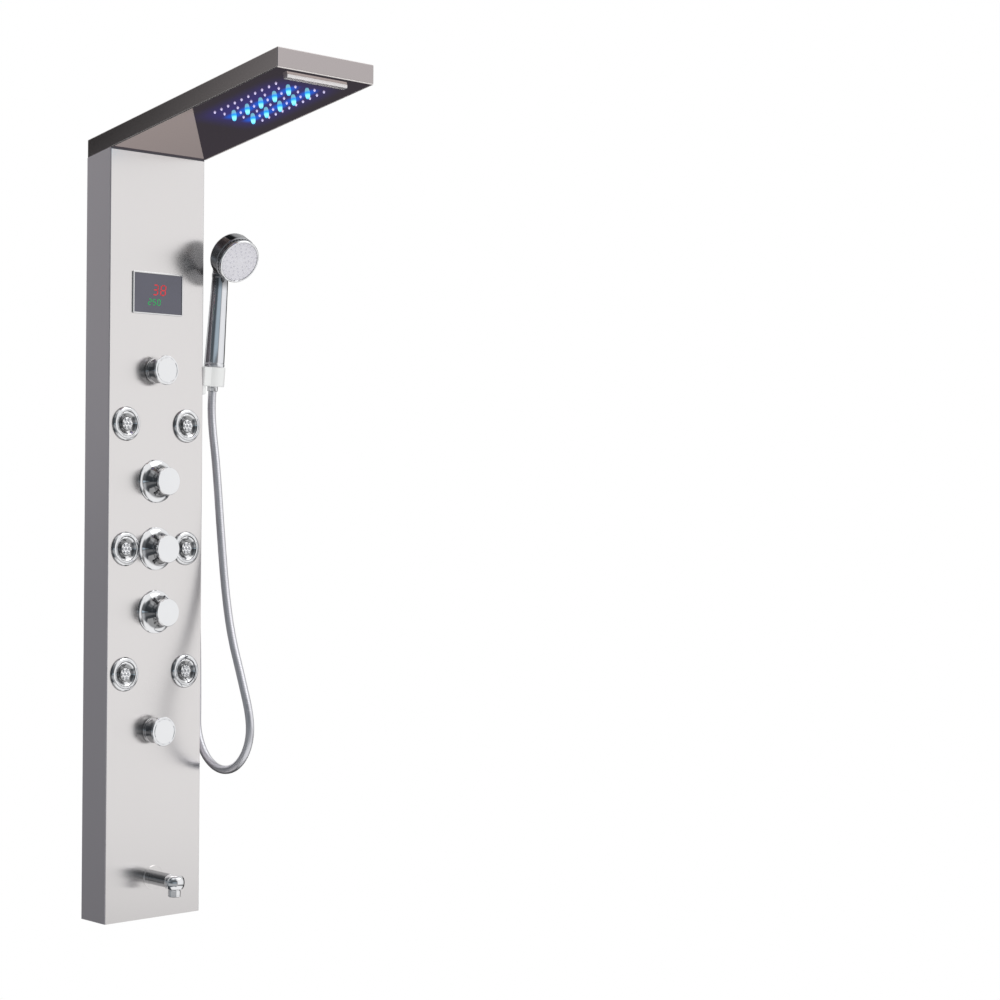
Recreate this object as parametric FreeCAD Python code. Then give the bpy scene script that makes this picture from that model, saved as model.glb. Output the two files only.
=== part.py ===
"""Wall-hung shower panel: folded steel column, tilted rain head, valves, body jets, spout and hand shower.

Millimetres. +Z is up, +X is to the viewer's right, the front faces -Y and the wall is the plane y = 0.
The origin is the centre of the four wall-screw holes.
"""
import FreeCAD, Part
import math
import os

from FreeCAD import Vector

# Column: a tray folded from sheet, open towards the wall
PANEL_WIDTH = 200.0
PANEL_HEIGHT = 1260.0
PANEL_DEPTH = 64.0
SHEET = 1.2
FOLD_RADIUS = 2.0

# Rain head: a second tray, tilted up towards its tip
HEAD_TILT = 9.5
HEAD_REACH = 470.0
HEAD_THICKNESS = 30.0
PLATE_THICKNESS = 1.5

# Clearances, the sides of round pieces that are hidden or repeat, and the overrun of every cut
FIT_GAP = 0.2
MOVING_GAP = 0.3
TURNING_GAP = 0.1
ROUND_SIDES = 12
SHOWN_SIDES = 24
NOZZLE_SIDES = 6
LENS_SIDES = 8
NUT_SIDES = 6
JET_NUT_SIDES = 8
CUT_OVERRUN = 5.0

# Wall brackets and the rails that hang on them
WALL_HOLE_SPACING_X = 120.0
WALL_HOLE_SPACING_Z = 900.0
WALL_HOLE_RADIUS = 2.75
BRACKET_WIDTH = 150.0
BRACKET_SHEET = 2.0
BRACKET_BELOW_HOLE = 12.0
BRACKET_ABOVE_HOLE = 18.0
BRACKET_STEP = 6.0
HOOK_HEIGHT = 10.0
HOOK_PLAY = 1.0
RAIL_PLAY = 2.0
RAIL_DROP = 22.0
GUSSET_WIDTH = 44.0
GUSSET_HEIGHT = 90.0
GUSSET_INSET = 8.0
GUSSET_OVERLAP = 16.0

# Rain field in the head's underside
FIELD_FROM_TIP = 132.5
FIELD_COLUMN_PITCH = 20.0
FIELD_ROW_PITCH = 16.2
FIELD_ROWS = 10
FIELD_COLUMNS = 6
NOZZLE_ROOT_RADIUS = 2.3
NOZZLE_TIP_RADIUS = 1.5
NOZZLE_DROP = 2.0
LENS_RADIUS = 4.2
LENS_TIP_RADIUS = 3.0
LENS_DROP = 7.0
CHAMBER_MARGIN = 12.0
CHAMBER_HEIGHT = 12.0

# Waterfall mouth near the head's tip
MOUTH_FROM_TIP = 23.5
MOUTH_WIDTH = 125.0
MOUTH_DEPTH = 9.0
MOUTH_DROP = 5.0
MOUTH_WALL = 2.0
MOUTH_BOX_MARGIN = 5.0
MOUTH_BOX_HEIGHT = 24.5

# Temperature display
DISPLAY_HEIGHT_UP = 407.0
DISPLAY_WIDTH = 106.0
DISPLAY_HEIGHT = 70.0
BEZEL_BORDER = 2.2
BEZEL_THICKNESS = 2.5
BEZEL_CORNER = 2.0
GLASS_THICKNESS = 2.4
GLASS_RECESS = 1.0
DISPLAY_CASE_DEPTH = 18.0
DISPLAY_CASE_LIP = 2.0

# Heights of the five controls and the three rows of jets
RAIN_CONTROL_UP = 279.0
WATERFALL_CONTROL_UP = 95.0
MIXER_CONTROL_UP = -17.0
JETS_CONTROL_UP = -122.0
SPOUT_CONTROL_UP = -319.0
JET_ROW_PITCH = 206.0
JET_OFFSET = 64.0

# Knobs
KNOB_STANDOFF = 0.8
KNOB_DISC_RADIUS = 24.5
SKIRTED_DISC_RADIUS = 23.0
KNOB_RIM = 4.0
KNOB_WAIST_RADIUS = 18.5
KNOB_FOOT_RADIUS = 21.0
KNOB_FOOT_HEIGHT = 4.0
KNOB_REACH = 27.0
SKIRTED_KNOB_REACH = 35.0
SKIRT_RADIUS = 36.0
SKIRT_EDGE = 2.2
SKIRT_HEIGHT = 8.0
SKIRT_TOP_RADIUS = 25.0
KNOB_WAIST_SHARES = (0.38, 0.74)
SPINDLE_RADIUS = 4.0
SPINDLE_IN_KNOB = 14.0
SPINDLE_IN_CARTRIDGE = 18.0

# Valves behind the controls
RISER_DEPTH = 20.0
VALVE_HALF_WIDTH = 14.0
VALVE_HALF_HEIGHT = 30.0
VALVE_BOSS_FRONT = 50.0
VALVE_BOSS_RADIUS = 14.0
CARTRIDGE_RADIUS = 11.0
CARTRIDGE_BACK = 34.0
COLLAR_RADIUS = 15.0
COLLAR_THICKNESS = 4.0
THREAD_STANDOUT = 5.5
PANEL_HOLE_PLAY = 0.5
CLAMP_NUT_RADIUS = 15.5
CLAMP_NUT_THICKNESS = 4.0
MIXER_RADIUS = 22.0
MIXER_CARTRIDGE_RADIUS = 16.0
INLET_OFFSET = 40.0
INLET_COLLAR_RADIUS = 13.0
INLET_BAR_HALF_HEIGHT = 14.0
INLET_BAR_BACK = 22.0
INLET_COLLAR_THICKNESS = 4.0
INLET_THREAD_RADIUS = 10.48
INLET_THREAD_LENGTH = 16.0

# Pipes inside the column
RISER_RADIUS = 7.0
PIPE_RADIUS = 5.0
PIPE_BEND = 14.0
HEAD_PIPE_BEND = 24.0
WATERFALL_PIPE_OFFSET = 37.0
WATERFALL_PIPE_RISE = 21.0
JET_RAIL_HALF_WIDTH = 6.0
JET_RAIL_END = 9.0

# Body jets
JET_RING_RADIUS = 28.5
JET_RING_HEIGHT = 5.0
JET_RING_CROWN = 4.0
JET_BALL_RADIUS = 21.5
JET_BALL_DEPTH = 60.0
JET_BALL_FACE = 8.5
JET_BALL_BACK = 13.0
JET_BALL_SHARES = (-0.22, 0.12)
JET_DISH_RADIUS = 18.6
JET_DISH_FLOOR_RADIUS = 12.6
JET_DISH_DEPTH = 4.4
JET_CROWN_RADIUS = 11.6
JET_CROWN_TIP_RADIUS = 9.2
JET_CROWN_HEIGHT = 6.5
JET_HOLE_RADIUS = 1.7
JET_HOLE_CIRCLE = 5.6
JET_HOLE_DEPTH = 6.0
JET_HOLES = 6
JET_BODY_WALL = 2.6
JET_BODY_BACK = 35.0
JET_SPIGOT_RADIUS = 5.0
JET_NUT_RADIUS = 30.0
JET_NUT_THICKNESS = 6.0

# Spout
SPOUT_UP = -563.0
SPOUT_RADIUS = 11.8
SPOUT_REACH = 56.0
SPOUT_END_RADIUS = 15.5
SPOUT_END_HEIGHT = 24.4
SPOUT_END_SLOPE = 3.5
AERATOR_RADIUS = 10.5
AERATOR_DROP = 12.0
AERATOR_MOUTH_RADIUS = 8.5
AERATOR_MOUTH_DEPTH = 3.0
ROSETTE_RADIUS = 20.0
ROSETTE_THICKNESS = 1.5
SHANK_RADIUS = 9.5
SHANK_IN_SPOUT = 14.0
SHANK_BLOCK_HALF_WIDTH = 12.0
SHANK_BLOCK_UP = 16.0
LOCK_NUT_THICKNESS = 5.0
LOCK_NUT_BORDER = 6.0

# Hand shower: its foot stands on the holder, and its axis leans forward
HANDSET_OFFSET = 130.0
HANDSET_DEPTH = 57.0
HANDSET_FOOT_UP = 292.0
HANDSET_LEAN = 5.5
HANDLE_FOOT_RADIUS = 17.5
HANDLE_NECK_RADIUS = 13.6
HANDLE_LENGTH = 168.0
SPRAY_FORWARD = 55.4
SPRAY_RISE = 10.5
SPRAY_TILT = 22.4
SPRAY_TWIST = -5.9
SPRAY_RADIUS = 37.6
DRUM_RADIUS = 38.9
DRUM_FRONT_DEPTH = 11.0
SPRAY_BODY_DEPTH = 39.0
SPRAY_SHOULDER_DEPTH = 33.0
SPRAY_CROWN_RADIUS = 30.0
SPRAY_BACK_RADIUS = 36.0
SPRAY_BACK_DEPTH = 37.0
TRIM_WIDTH = 3.5
TRIM_HEIGHT = 3.0
TRIM_SLOPE = 1.5
SPRAY_FACE_THICKNESS = 2.4
SPRAY_DOT_RADIUS = 1.2
SPRAY_DOT_HEIGHT = 1.0
SPRAY_DOT_COUNTS = (8, 14)
SPRAY_DOT_CIRCLES = (12.0, 24.0)
CONE_NUT_TOP_RADIUS = 11.5
CONE_NUT_FOOT_RADIUS = 8.8
CONE_NUT_LENGTH = 42.0

# Hand shower holder
HOLDER_CUP_RADIUS = 19.5
HOLDER_HEIGHT = 33.0
HOLDER_ARM_WIDTH = 25.0
HOLDER_BASE_THICKNESS = 9.0
HOLDER_BASE_WIDTH = 30.0
HOLDER_BASE_FRONT = 62.0
HOLDER_BASE_HEIGHT = 48.0
HOLDER_SLOT = 17.0
HOLDER_SCREW_RADIUS = 2.0
HOLDER_SCREW_HEAD_RADIUS = 4.0
HOLDER_SCREW_HEAD = 2.5
HOLDER_SCREW_PITCH = 30.0
HOLDER_SCREW_DEPTH = 6.0

# Hose outlet on the right side
OUTLET_UP = 60.0
OUTLET_BLOCK_INSET = 14.0
OUTLET_BLOCK_HALF_WIDTH = 9.0
OUTLET_BLOCK_UP = 12.0
OUTLET_BLOCK_DOWN = 14.0
OUTLET_STANDOUT = 20.0
OUTLET_RADIUS = 9.0
OUTLET_FLANGE_RADIUS = 14.0
OUTLET_FLANGE_THICKNESS = 3.0
OUTLET_KNEE_RADIUS = 10.5
OUTLET_STUB_LENGTH = 28.0
HOSE_NUT_RADIUS = 11.8
HOSE_NUT_FOOT_RADIUS = 9.0
HOSE_NUT_LENGTH = 20.0
HOSE_NUT_FLOOR = 4.0

# Hose: the points run from the cone nut down, round the loop and up to the outlet
HOSE_RADIUS = 7.0
HOSE_BEND_SHARE = 0.45
HOSE_ROUTE = (
    (130.0, -50.3, 225.0),
    (130.0, -54.0, 185.0),
    (129.0, -66.0, 125.0),
    (126.5, -81.5, 15.0),
    (122.5, -99.0, -85.0),
    (118.5, -120.0, -162.0),
    (115.0, -150.5, -229.0),
    (112.5, -180.3, -303.3),
    (114.0, -170.1, -350.5),
    (118.0, -135.6, -384.1),
    (123.0, -88.1, -393.1),
    (128.0, -43.7, -374.3),
    (131.5, -17.0, -334.1),
    (132.0, -17.0, -287.0),
    (130.5, -17.6, -200.0),
    (125.5, -19.0, -105.0),
    (120.0, -20.0, -23.0),
)

# Places worked out from the sizes above
HALF_WIDTH = PANEL_WIDTH / 2
HALF_HEIGHT = PANEL_HEIGHT / 2
INNER_HALF_WIDTH = HALF_WIDTH - SHEET
FRONT = -PANEL_DEPTH
INNER_FRONT = FRONT + SHEET
RISER = -RISER_DEPTH
HEAD_SLOPE = math.tan(math.radians(HEAD_TILT))
HEAD_RUN = HEAD_REACH / math.cos(math.radians(HEAD_TILT))
FIELD_CENTRE = HEAD_RUN - FIELD_FROM_TIP
MOUTH_CENTRE = HEAD_RUN - MOUTH_FROM_TIP
PANEL_HOLE_RADIUS = CARTRIDGE_RADIUS + PANEL_HOLE_PLAY
JET_SOCKET_RADIUS = JET_BALL_RADIUS + MOVING_GAP
JET_BODY_RADIUS = JET_SOCKET_RADIUS + JET_BODY_WALL
OUTLET_AXIS = HALF_WIDTH + OUTLET_STANDOUT
HOSE_NUT_TOP = OUTLET_UP - OUTLET_STUB_LENGTH - HOSE_NUT_FLOOR + HOSE_NUT_LENGTH
HOSE_NUT_BOTTOM = HOSE_NUT_TOP - HOSE_NUT_LENGTH
SIDES = (-1, 1)

CONTROLS = {
    "rain": (RAIN_CONTROL_UP, False),
    "waterfall": (WATERFALL_CONTROL_UP, True),
    "mixer": (MIXER_CONTROL_UP, True),
    "jets": (JETS_CONTROL_UP, True),
    "spout": (SPOUT_CONTROL_UP, False),
}
JETS = {
    f"{row}_{side}": (sign * JET_OFFSET, MIXER_CONTROL_UP + step * JET_ROW_PITCH)
    for row, step in (("upper", 1), ("middle", 0), ("lower", -1))
    for side, sign in (("left", -1), ("right", 1))
}


def head_floor(y):
    """Height of the head's underside at a depth y."""
    return HALF_HEIGHT - y * HEAD_SLOPE


def box(x, y, z):
    """A box from three (one end, other end) pairs."""
    spans = [abs(pair[1] - pair[0]) for pair in (x, y, z)]
    return Part.makeBox(*spans, Vector(min(x), min(y), min(z)))


def rod(radius, start, end):
    """A cylinder from one point to another."""
    axis = Vector(*end) - Vector(*start)
    return Part.makeCylinder(radius, axis.Length, Vector(*start), axis)


def side_prism(outline, half_width, centre=0.0):
    """A (y, z) outline extruded across the width."""
    ring = [Vector(centre - half_width, y, z) for y, z in outline]
    face = Part.Face(Part.makePolygon(ring + ring[:1]))
    return face.extrude(Vector(2 * half_width, 0, 0))


def many_sided(sides, radius, tip_radius, low, high, centre=(0, 0)):
    """A frustum with flat sides, from low (tip) to high (root) along Z."""
    turns = [2 * math.pi * (step + 0.5) / sides for step in range(sides)]
    tip, root = (
        [Vector(centre[0] + size * math.cos(turn), centre[1] + size * math.sin(turn), height) for turn in turns]
        for size, height in ((tip_radius, low), (radius, high))
    )
    walls = [[tip[step - 1], tip[step], root[step], root[step - 1]] for step in range(sides)]
    faces = [Part.Face(Part.makePolygon(loop + loop[:1])) for loop in (tip[::-1], root, *walls)]
    return Part.Solid(Part.Shell(faces))


def turned(radius, low, high, tip_radius=None):
    """A hidden round bar along Z, drawn with a few flat sides."""
    return many_sided(ROUND_SIDES, radius, radius if tip_radius is None else tip_radius, low, high)


def reamed(radius, low, high):
    """A hidden round hole along Z whose flat sides stay outside the radius."""
    return turned(radius / math.cos(math.pi / ROUND_SIDES), low, high)


def stacked(*outline):
    """A turned piece that repeats: (r, h) points from foot to top, drawn with flat sides."""
    slices = [
        many_sided(SHOWN_SIDES, above[0], below[0], below[1], above[1])
        for below, above in zip(outline, outline[1:])
        if above[1] > below[1]
    ]
    return fused(slices) if slices[1:] else slices[0]


def lathe(start, *steps):
    """Turn an (r, h) outline about Z. A step is a point, or two points for an arc through the first."""
    edges = []
    here = Vector(start[0], 0, start[1])
    first = here
    for step in steps:
        if isinstance(step[0], tuple):
            middle, end = (Vector(r, 0, h) for r, h in step)
            edges.append(Part.Arc(here, middle, end).toShape())
        else:
            end = Vector(step[0], 0, step[1])
            edges.append(Part.makeLine(here, end))
        here = end
    edges.append(Part.makeLine(here, first))
    face = Part.Face(Part.Wire(edges))
    return face.revolve(Vector(), Vector(0, 0, 1), 360)


def on_front(shape, x, y, z):
    """A shape built up along +Z, turned to stand out of the front at a place."""
    placed = shape.copy()
    placed.rotate(Vector(), Vector(1, 0, 0), 90)
    placed.translate(Vector(x, y, z))
    return placed


def on_side(shape, x, y, z):
    """A shape built up along +Z, turned to stand out of the right side at a place."""
    placed = shape.copy()
    placed.rotate(Vector(), Vector(0, 1, 0), 90)
    placed.translate(Vector(x, y, z))
    return placed


def in_head(shape):
    """A shape built on the flat underside (z = 0, running to -Y), tilted into the head."""
    placed = shape.copy()
    placed.rotate(Vector(), Vector(1, 0, 0), -HEAD_TILT)
    placed.translate(Vector(0, 0, HALF_HEIGHT))
    return placed


def in_handset(shape):
    """A shape built upright on the hand shower's foot, leaned into place."""
    placed = shape.copy()
    placed.rotate(Vector(), Vector(1, 0, 0), HANDSET_LEAN)
    placed.translate(Vector(HANDSET_OFFSET, -HANDSET_DEPTH, HANDSET_FOOT_UP))
    return placed


def handset_point(along):
    """A point on the hand shower's axis, measured up from its foot."""
    lean = math.radians(HANDSET_LEAN)
    foot = Vector(HANDSET_OFFSET, -HANDSET_DEPTH, HANDSET_FOOT_UP)
    return foot + Vector(0, -math.sin(lean), math.cos(lean)) * along


def bent_path(points, radii):
    """Straight runs joined by tangent arcs, one radius per inner point."""
    points = [Vector(*point) for point in points]
    edges = []
    here = points[0]
    for before, corner, after, radius in zip(points, points[1:], points[2:], radii):
        arriving = (corner - before).normalize()
        leaving = (after - corner).normalize()
        half_turn = arriving.getAngle(leaving) / 2
        reach = radius * math.tan(half_turn)
        inward = (leaving - arriving).normalize()
        middle = corner + inward * (radius / math.cos(half_turn) - radius)
        edges.append(Part.LineSegment(here, corner - arriving * reach).toShape())
        edges.append(Part.Arc(corner - arriving * reach, middle, corner + leaving * reach).toShape())
        here = corner + leaving * reach
    edges.append(Part.LineSegment(here, points[-1]).toShape())
    return Part.Wire(edges)


def tube(points, radii, radius, sides=None):
    """A rod swept along a bent path: round, or with a few flat sides where it is hidden."""
    path = bent_path(points, radii)
    start = Vector(*points[0])
    heading = Vector(*points[1]) - start
    circle = Part.Circle(start, heading, radius).toShape()
    section = Part.makePolygon(circle.discretize(sides + 1)) if sides else Part.Wire(circle)
    return path.makePipeShell([section], True, False)


def fused(shapes):
    """One solid from several."""
    return shapes[0].multiFuse(shapes[1:]).removeSplitter()


def front_panel():
    """The folded column with its cut-outs."""
    top = head_floor(FRONT)
    shell = side_prism(((0, -HALF_HEIGHT), (0, HALF_HEIGHT), (FRONT, top), (FRONT, -HALF_HEIGHT)), HALF_WIDTH)
    folds = [
        edge
        for edge in shell.Edges
        if edge.Length > PANEL_WIDTH and all(abs(vertex.Y - FRONT) < SHEET for vertex in edge.Vertexes)
    ]
    shell = shell.makeFillet(FOLD_RADIUS, folds)
    floor = SHEET - HALF_HEIGHT
    over = HALF_HEIGHT + PANEL_DEPTH
    hollow = side_prism(
        ((CUT_OVERRUN, floor), (CUT_OVERRUN, over), (INNER_FRONT, over), (INNER_FRONT, floor)),
        INNER_HALF_WIDTH,
    )
    tools = [hollow]
    low = -SHEET - CUT_OVERRUN
    for up, _ in CONTROLS.values():
        tools.append(on_front(turned(PANEL_HOLE_RADIUS, low, CUT_OVERRUN), 0, FRONT, up))
    for x, up in JETS.values():
        tools.append(on_front(turned(JET_BODY_RADIUS + FIT_GAP, low, CUT_OVERRUN), x, FRONT, up))
    tools.append(on_front(turned(SHANK_RADIUS + FIT_GAP, low, CUT_OVERRUN), 0, FRONT, SPOUT_UP))
    tools.append(on_side(turned(OUTLET_RADIUS + FIT_GAP, low, CUT_OVERRUN), HALF_WIDTH, RISER, OUTLET_UP))
    for y, z in holder_screw_places():
        tools.append(on_side(turned(HOLDER_SCREW_RADIUS + FIT_GAP, low, CUT_OVERRUN), HALF_WIDTH, y, z))
    x, z = display_span(BEZEL_BORDER)
    tools.append(box(x, (FRONT - CUT_OVERRUN, INNER_FRONT + CUT_OVERRUN), z))
    return shell.cut(tools)


def wall_brackets():
    """Two Z-shaped strips that are screwed to the wall."""
    strips = []
    for side in SIDES:
        hole = side * WALL_HOLE_SPACING_Z / 2
        top = hole + BRACKET_ABOVE_HOLE
        hook = top + HOOK_HEIGHT
        step = -BRACKET_STEP - BRACKET_SHEET
        strip = side_prism(
            (
                (0, hole - BRACKET_BELOW_HOLE),
                (0, top),
                (-BRACKET_STEP, top),
                (-BRACKET_STEP, hook),
                (step, hook),
                (step, top - BRACKET_SHEET),
                (-BRACKET_SHEET, top - BRACKET_SHEET),
                (-BRACKET_SHEET, hole - BRACKET_BELOW_HOLE),
            ),
            BRACKET_WIDTH / 2,
        )
        for end in SIDES:
            x = end * WALL_HOLE_SPACING_X / 2
            strip = strip.cut(rod(WALL_HOLE_RADIUS, (x, -CUT_OVERRUN, hole), (x, CUT_OVERRUN, hole)))
        strips.append(strip)
    return Part.makeCompound(strips)


def hanging_rails():
    """Two cross rails welded between the column's sides, hooked over the wall brackets."""
    rails = []
    for side in SIDES:
        seat = side * WALL_HOLE_SPACING_Z / 2 + BRACKET_ABOVE_HOLE + HOOK_HEIGHT
        back = HOOK_PLAY - BRACKET_STEP
        web = -BRACKET_STEP - BRACKET_SHEET - RAIL_PLAY
        lip = seat - HOOK_HEIGHT + RAIL_PLAY
        top = seat + BRACKET_SHEET
        rails.append(
            side_prism(
                (
                    (back + BRACKET_SHEET, top),
                    (back + BRACKET_SHEET, lip),
                    (back, lip),
                    (back, seat),
                    (web, seat),
                    (web, top - RAIL_DROP),
                    (web - BRACKET_SHEET, top - RAIL_DROP),
                    (web - BRACKET_SHEET, top),
                ),
                INNER_HALF_WIDTH,
            )
        )
    return Part.makeCompound(rails)


def head_shell():
    """The folded head, open below, with upright ends."""
    tip = -HEAD_REACH
    outer = side_prism(
        (
            (0, head_floor(0)),
            (0, head_floor(0) + HEAD_THICKNESS),
            (tip, head_floor(tip) + HEAD_THICKNESS),
            (tip, head_floor(tip)),
        ),
        HALF_WIDTH,
    )
    inner_tip = tip + SHEET
    roof = HEAD_THICKNESS - SHEET
    hollow = side_prism(
        (
            (-SHEET, head_floor(-SHEET) - CUT_OVERRUN),
            (-SHEET, head_floor(-SHEET) + roof),
            (inner_tip, head_floor(inner_tip) + roof),
            (inner_tip, head_floor(inner_tip) - CUT_OVERRUN),
        ),
        INNER_HALF_WIDTH,
    )
    return outer.cut(hollow)


def head_gussets():
    """Two plates that tie the head's sides to the column's sides."""
    top = HEAD_THICKNESS - SHEET - GUSSET_OVERLAP / 2
    back = -GUSSET_INSET
    front = back - GUSSET_WIDTH
    outline = (
        (back, head_floor(back) - GUSSET_HEIGHT),
        (back, head_floor(back) + top),
        (front, head_floor(front) + top),
        (front, head_floor(front) - GUSSET_OVERLAP),
    )
    middle = INNER_HALF_WIDTH - BRACKET_SHEET / 2
    return Part.makeCompound([side_prism(outline, BRACKET_SHEET / 2, side * middle) for side in SIDES])


def field_places():
    """Places of the rain nozzles and of the lamp lenses on the underside."""
    nozzles = []
    lenses = []
    for row in range(FIELD_ROWS):
        y = -FIELD_CENTRE + (row - (FIELD_ROWS - 1) / 2) * FIELD_ROW_PITCH
        for column in range(FIELD_COLUMNS):
            x = (column - (FIELD_COLUMNS - 1) / 2) * FIELD_COLUMN_PITCH
            edge_column = column in (0, FIELD_COLUMNS - 1)
            if edge_column or (row + column) % 2 == 0 and (row % 2 == 1 or column % 2 == 0):
                nozzles.append((x, y))
            elif row % 2 == 1 and column % 2 == 0:
                lenses.append((x, y))
    return nozzles, lenses


def head_plate():
    """The polished underside with its nozzle, lens and waterfall openings."""
    half = INNER_HALF_WIDTH - FIT_GAP
    stretch = 1 / math.cos(math.radians(HEAD_TILT))
    back = FRONT * stretch - FIT_GAP
    tip = (SHEET - HEAD_REACH) * stretch + FIT_GAP
    plate = box((-half, half), (tip, back), (0, PLATE_THICKNESS))
    nozzles, lenses = field_places()
    low = -CUT_OVERRUN
    high = PLATE_THICKNESS + CUT_OVERRUN
    cuts = []
    for place in nozzles:
        radius = NOZZLE_ROOT_RADIUS + FIT_GAP
        cuts.append(many_sided(NOZZLE_SIDES, radius, radius, low, high, place))
    for place in lenses:
        radius = LENS_RADIUS + FIT_GAP
        cuts.append(many_sided(LENS_SIDES, radius, radius, low, high, place))
    half_mouth = MOUTH_WIDTH / 2 + FIT_GAP
    half_depth = MOUTH_DEPTH / 2 + FIT_GAP
    cuts.append(
        box((-half_mouth, half_mouth), (-MOUTH_CENTRE - half_depth, -MOUTH_CENTRE + half_depth), (low, high))
    )
    return in_head(plate.cut(cuts))


def rain_nozzles():
    """Soft nozzles that hang through the plate from the chamber's floor."""
    places, _ = field_places()
    sizes = (NOZZLE_SIDES, NOZZLE_ROOT_RADIUS, NOZZLE_TIP_RADIUS, -NOZZLE_DROP, PLATE_THICKNESS)
    return in_head(Part.makeCompound([many_sided(*sizes, place) for place in places]))


def led_lenses():
    """Lamp lenses that hang through the plate from the chamber's floor."""
    _, places = field_places()
    sizes = (LENS_SIDES, LENS_RADIUS, LENS_TIP_RADIUS, -LENS_DROP, PLATE_THICKNESS)
    return in_head(Part.makeCompound([many_sided(*sizes, place) for place in places]))


def rain_chamber_span():
    """Half width and the two ends of the rain chamber, along the head."""
    half = (FIELD_COLUMNS - 1) / 2 * FIELD_COLUMN_PITCH + CHAMBER_MARGIN
    reach = (FIELD_ROWS - 1) / 2 * FIELD_ROW_PITCH + CHAMBER_MARGIN
    return half, -FIELD_CENTRE - reach, reach - FIELD_CENTRE


def rain_chamber():
    """The water box over the rain field, with its inlet spigot at the back."""
    half, front, back = rain_chamber_span()
    top = PLATE_THICKNESS + CHAMBER_HEIGHT
    body = box((-half, half), (front, back), (PLATE_THICKNESS, top))
    middle = PLATE_THICKNESS + CHAMBER_HEIGHT / 2
    spigot = on_front(turned(PIPE_RADIUS, -CHAMBER_MARGIN, CHAMBER_MARGIN), 0, back, middle)
    return in_head(fused([body, spigot]))


def waterfall_outlet():
    """The waterfall box with its mouth standing out of the underside."""
    half = MOUTH_WIDTH / 2
    near = -MOUTH_CENTRE + MOUTH_DEPTH / 2
    far = -MOUTH_CENTRE - MOUTH_DEPTH / 2
    reservoir = box(
        (-half - MOUTH_BOX_MARGIN, half + MOUTH_BOX_MARGIN),
        (far - MOUTH_BOX_MARGIN, near + MOUTH_BOX_MARGIN),
        (PLATE_THICKNESS, PLATE_THICKNESS + MOUTH_BOX_HEIGHT),
    )
    mouth = box((-half, half), (far, near), (-MOUTH_DROP, PLATE_THICKNESS))
    slot = box(
        (MOUTH_WALL - half, half - MOUTH_WALL),
        (far + MOUTH_WALL, near - MOUTH_WALL),
        (-MOUTH_DROP - CUT_OVERRUN, PLATE_THICKNESS + MOUTH_BOX_HEIGHT / 2),
    )
    return in_head(fused([reservoir, mouth]).cut(slot))


def head_point(along, rise, x=0.0):
    """A point in the head, by its distance along the underside and its rise above it."""
    tilt = math.radians(HEAD_TILT)
    y = -along * math.cos(tilt) + rise * math.sin(tilt)
    z = HALF_HEIGHT + along * math.sin(tilt) + rise * math.cos(tilt)
    return (x, y, z)


def outlet_pipes():
    """Pipes from the valves to the rain chamber, the waterfall, the spout and the hose outlet."""
    _, _, chamber_back = rain_chamber_span()
    port = VALVE_HALF_WIDTH
    rise = PLATE_THICKNESS + CHAMBER_HEIGHT / 2
    rain_end = head_point(-chamber_back - CHAMBER_MARGIN, rise)
    rain_corner = (0, RISER, rain_end[2] - (RISER - rain_end[1]) * HEAD_SLOPE)
    x = WATERFALL_PIPE_OFFSET
    fall_end = head_point(MOUTH_CENTRE - MOUTH_DEPTH / 2 - MOUTH_BOX_MARGIN, WATERFALL_PIPE_RISE, x)
    fall_corner = (x, RISER, fall_end[2] - (RISER - fall_end[1]) * HEAD_SLOPE)
    block = INNER_HALF_WIDTH - OUTLET_BLOCK_INSET
    runs = (
        (((0, RISER, RAIN_CONTROL_UP + VALVE_HALF_HEIGHT), rain_corner, rain_end), (HEAD_PIPE_BEND,)),
        (
            ((port, RISER, WATERFALL_CONTROL_UP), (x, RISER, WATERFALL_CONTROL_UP), fall_corner, fall_end),
            (PIPE_BEND, HEAD_PIPE_BEND),
        ),
        (
            ((0, RISER, SPOUT_CONTROL_UP - VALVE_HALF_HEIGHT), (0, RISER, SPOUT_UP + SHANK_BLOCK_UP)),
            (),
        ),
        (
            (
                (port, RISER, SPOUT_CONTROL_UP),
                (block, RISER, SPOUT_CONTROL_UP),
                (block, RISER, OUTLET_UP - OUTLET_BLOCK_DOWN),
            ),
            (PIPE_BEND,),
        ),
    )
    return Part.makeCompound([tube(points, radii, PIPE_RADIUS, ROUND_SIDES) for points, radii in runs])


def display_span(border):
    """The display's (x, z) pairs, drawn in by a border."""
    half = DISPLAY_WIDTH / 2 - border
    rise = DISPLAY_HEIGHT / 2 - border
    return (-half, half), (DISPLAY_HEIGHT_UP - rise, DISPLAY_HEIGHT_UP + rise)


def display_bezel():
    """The thin frame round the display."""
    x, z = display_span(0)
    frame = box(x, (FRONT - BEZEL_THICKNESS, FRONT), z)
    corners = [edge for edge in frame.Edges if abs(edge.BoundBox.YLength - BEZEL_THICKNESS) < FIT_GAP]
    frame = frame.makeFillet(BEZEL_CORNER, corners)
    x, z = display_span(BEZEL_BORDER)
    return frame.cut(box(x, (FRONT - BEZEL_THICKNESS - CUT_OVERRUN, FRONT + CUT_OVERRUN), z))


def display_glass():
    """The dark window, a little behind the bezel's face."""
    x, z = display_span(BEZEL_BORDER + FIT_GAP)
    face = FRONT - BEZEL_THICKNESS + GLASS_RECESS
    return box(x, (face, face + GLASS_THICKNESS), z)


def display_case():
    """The sealed case behind the window, with a lip that bears on the column."""
    glass_back = FRONT - BEZEL_THICKNESS + GLASS_RECESS + GLASS_THICKNESS
    x, z = display_span(BEZEL_BORDER + FIT_GAP)
    case = box(x, (glass_back, glass_back + DISPLAY_CASE_DEPTH), z)
    x, z = display_span(BEZEL_BORDER - DISPLAY_CASE_LIP)
    lip = box(x, (INNER_FRONT, INNER_FRONT + DISPLAY_CASE_LIP), z)
    return fused([case, lip])


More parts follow.
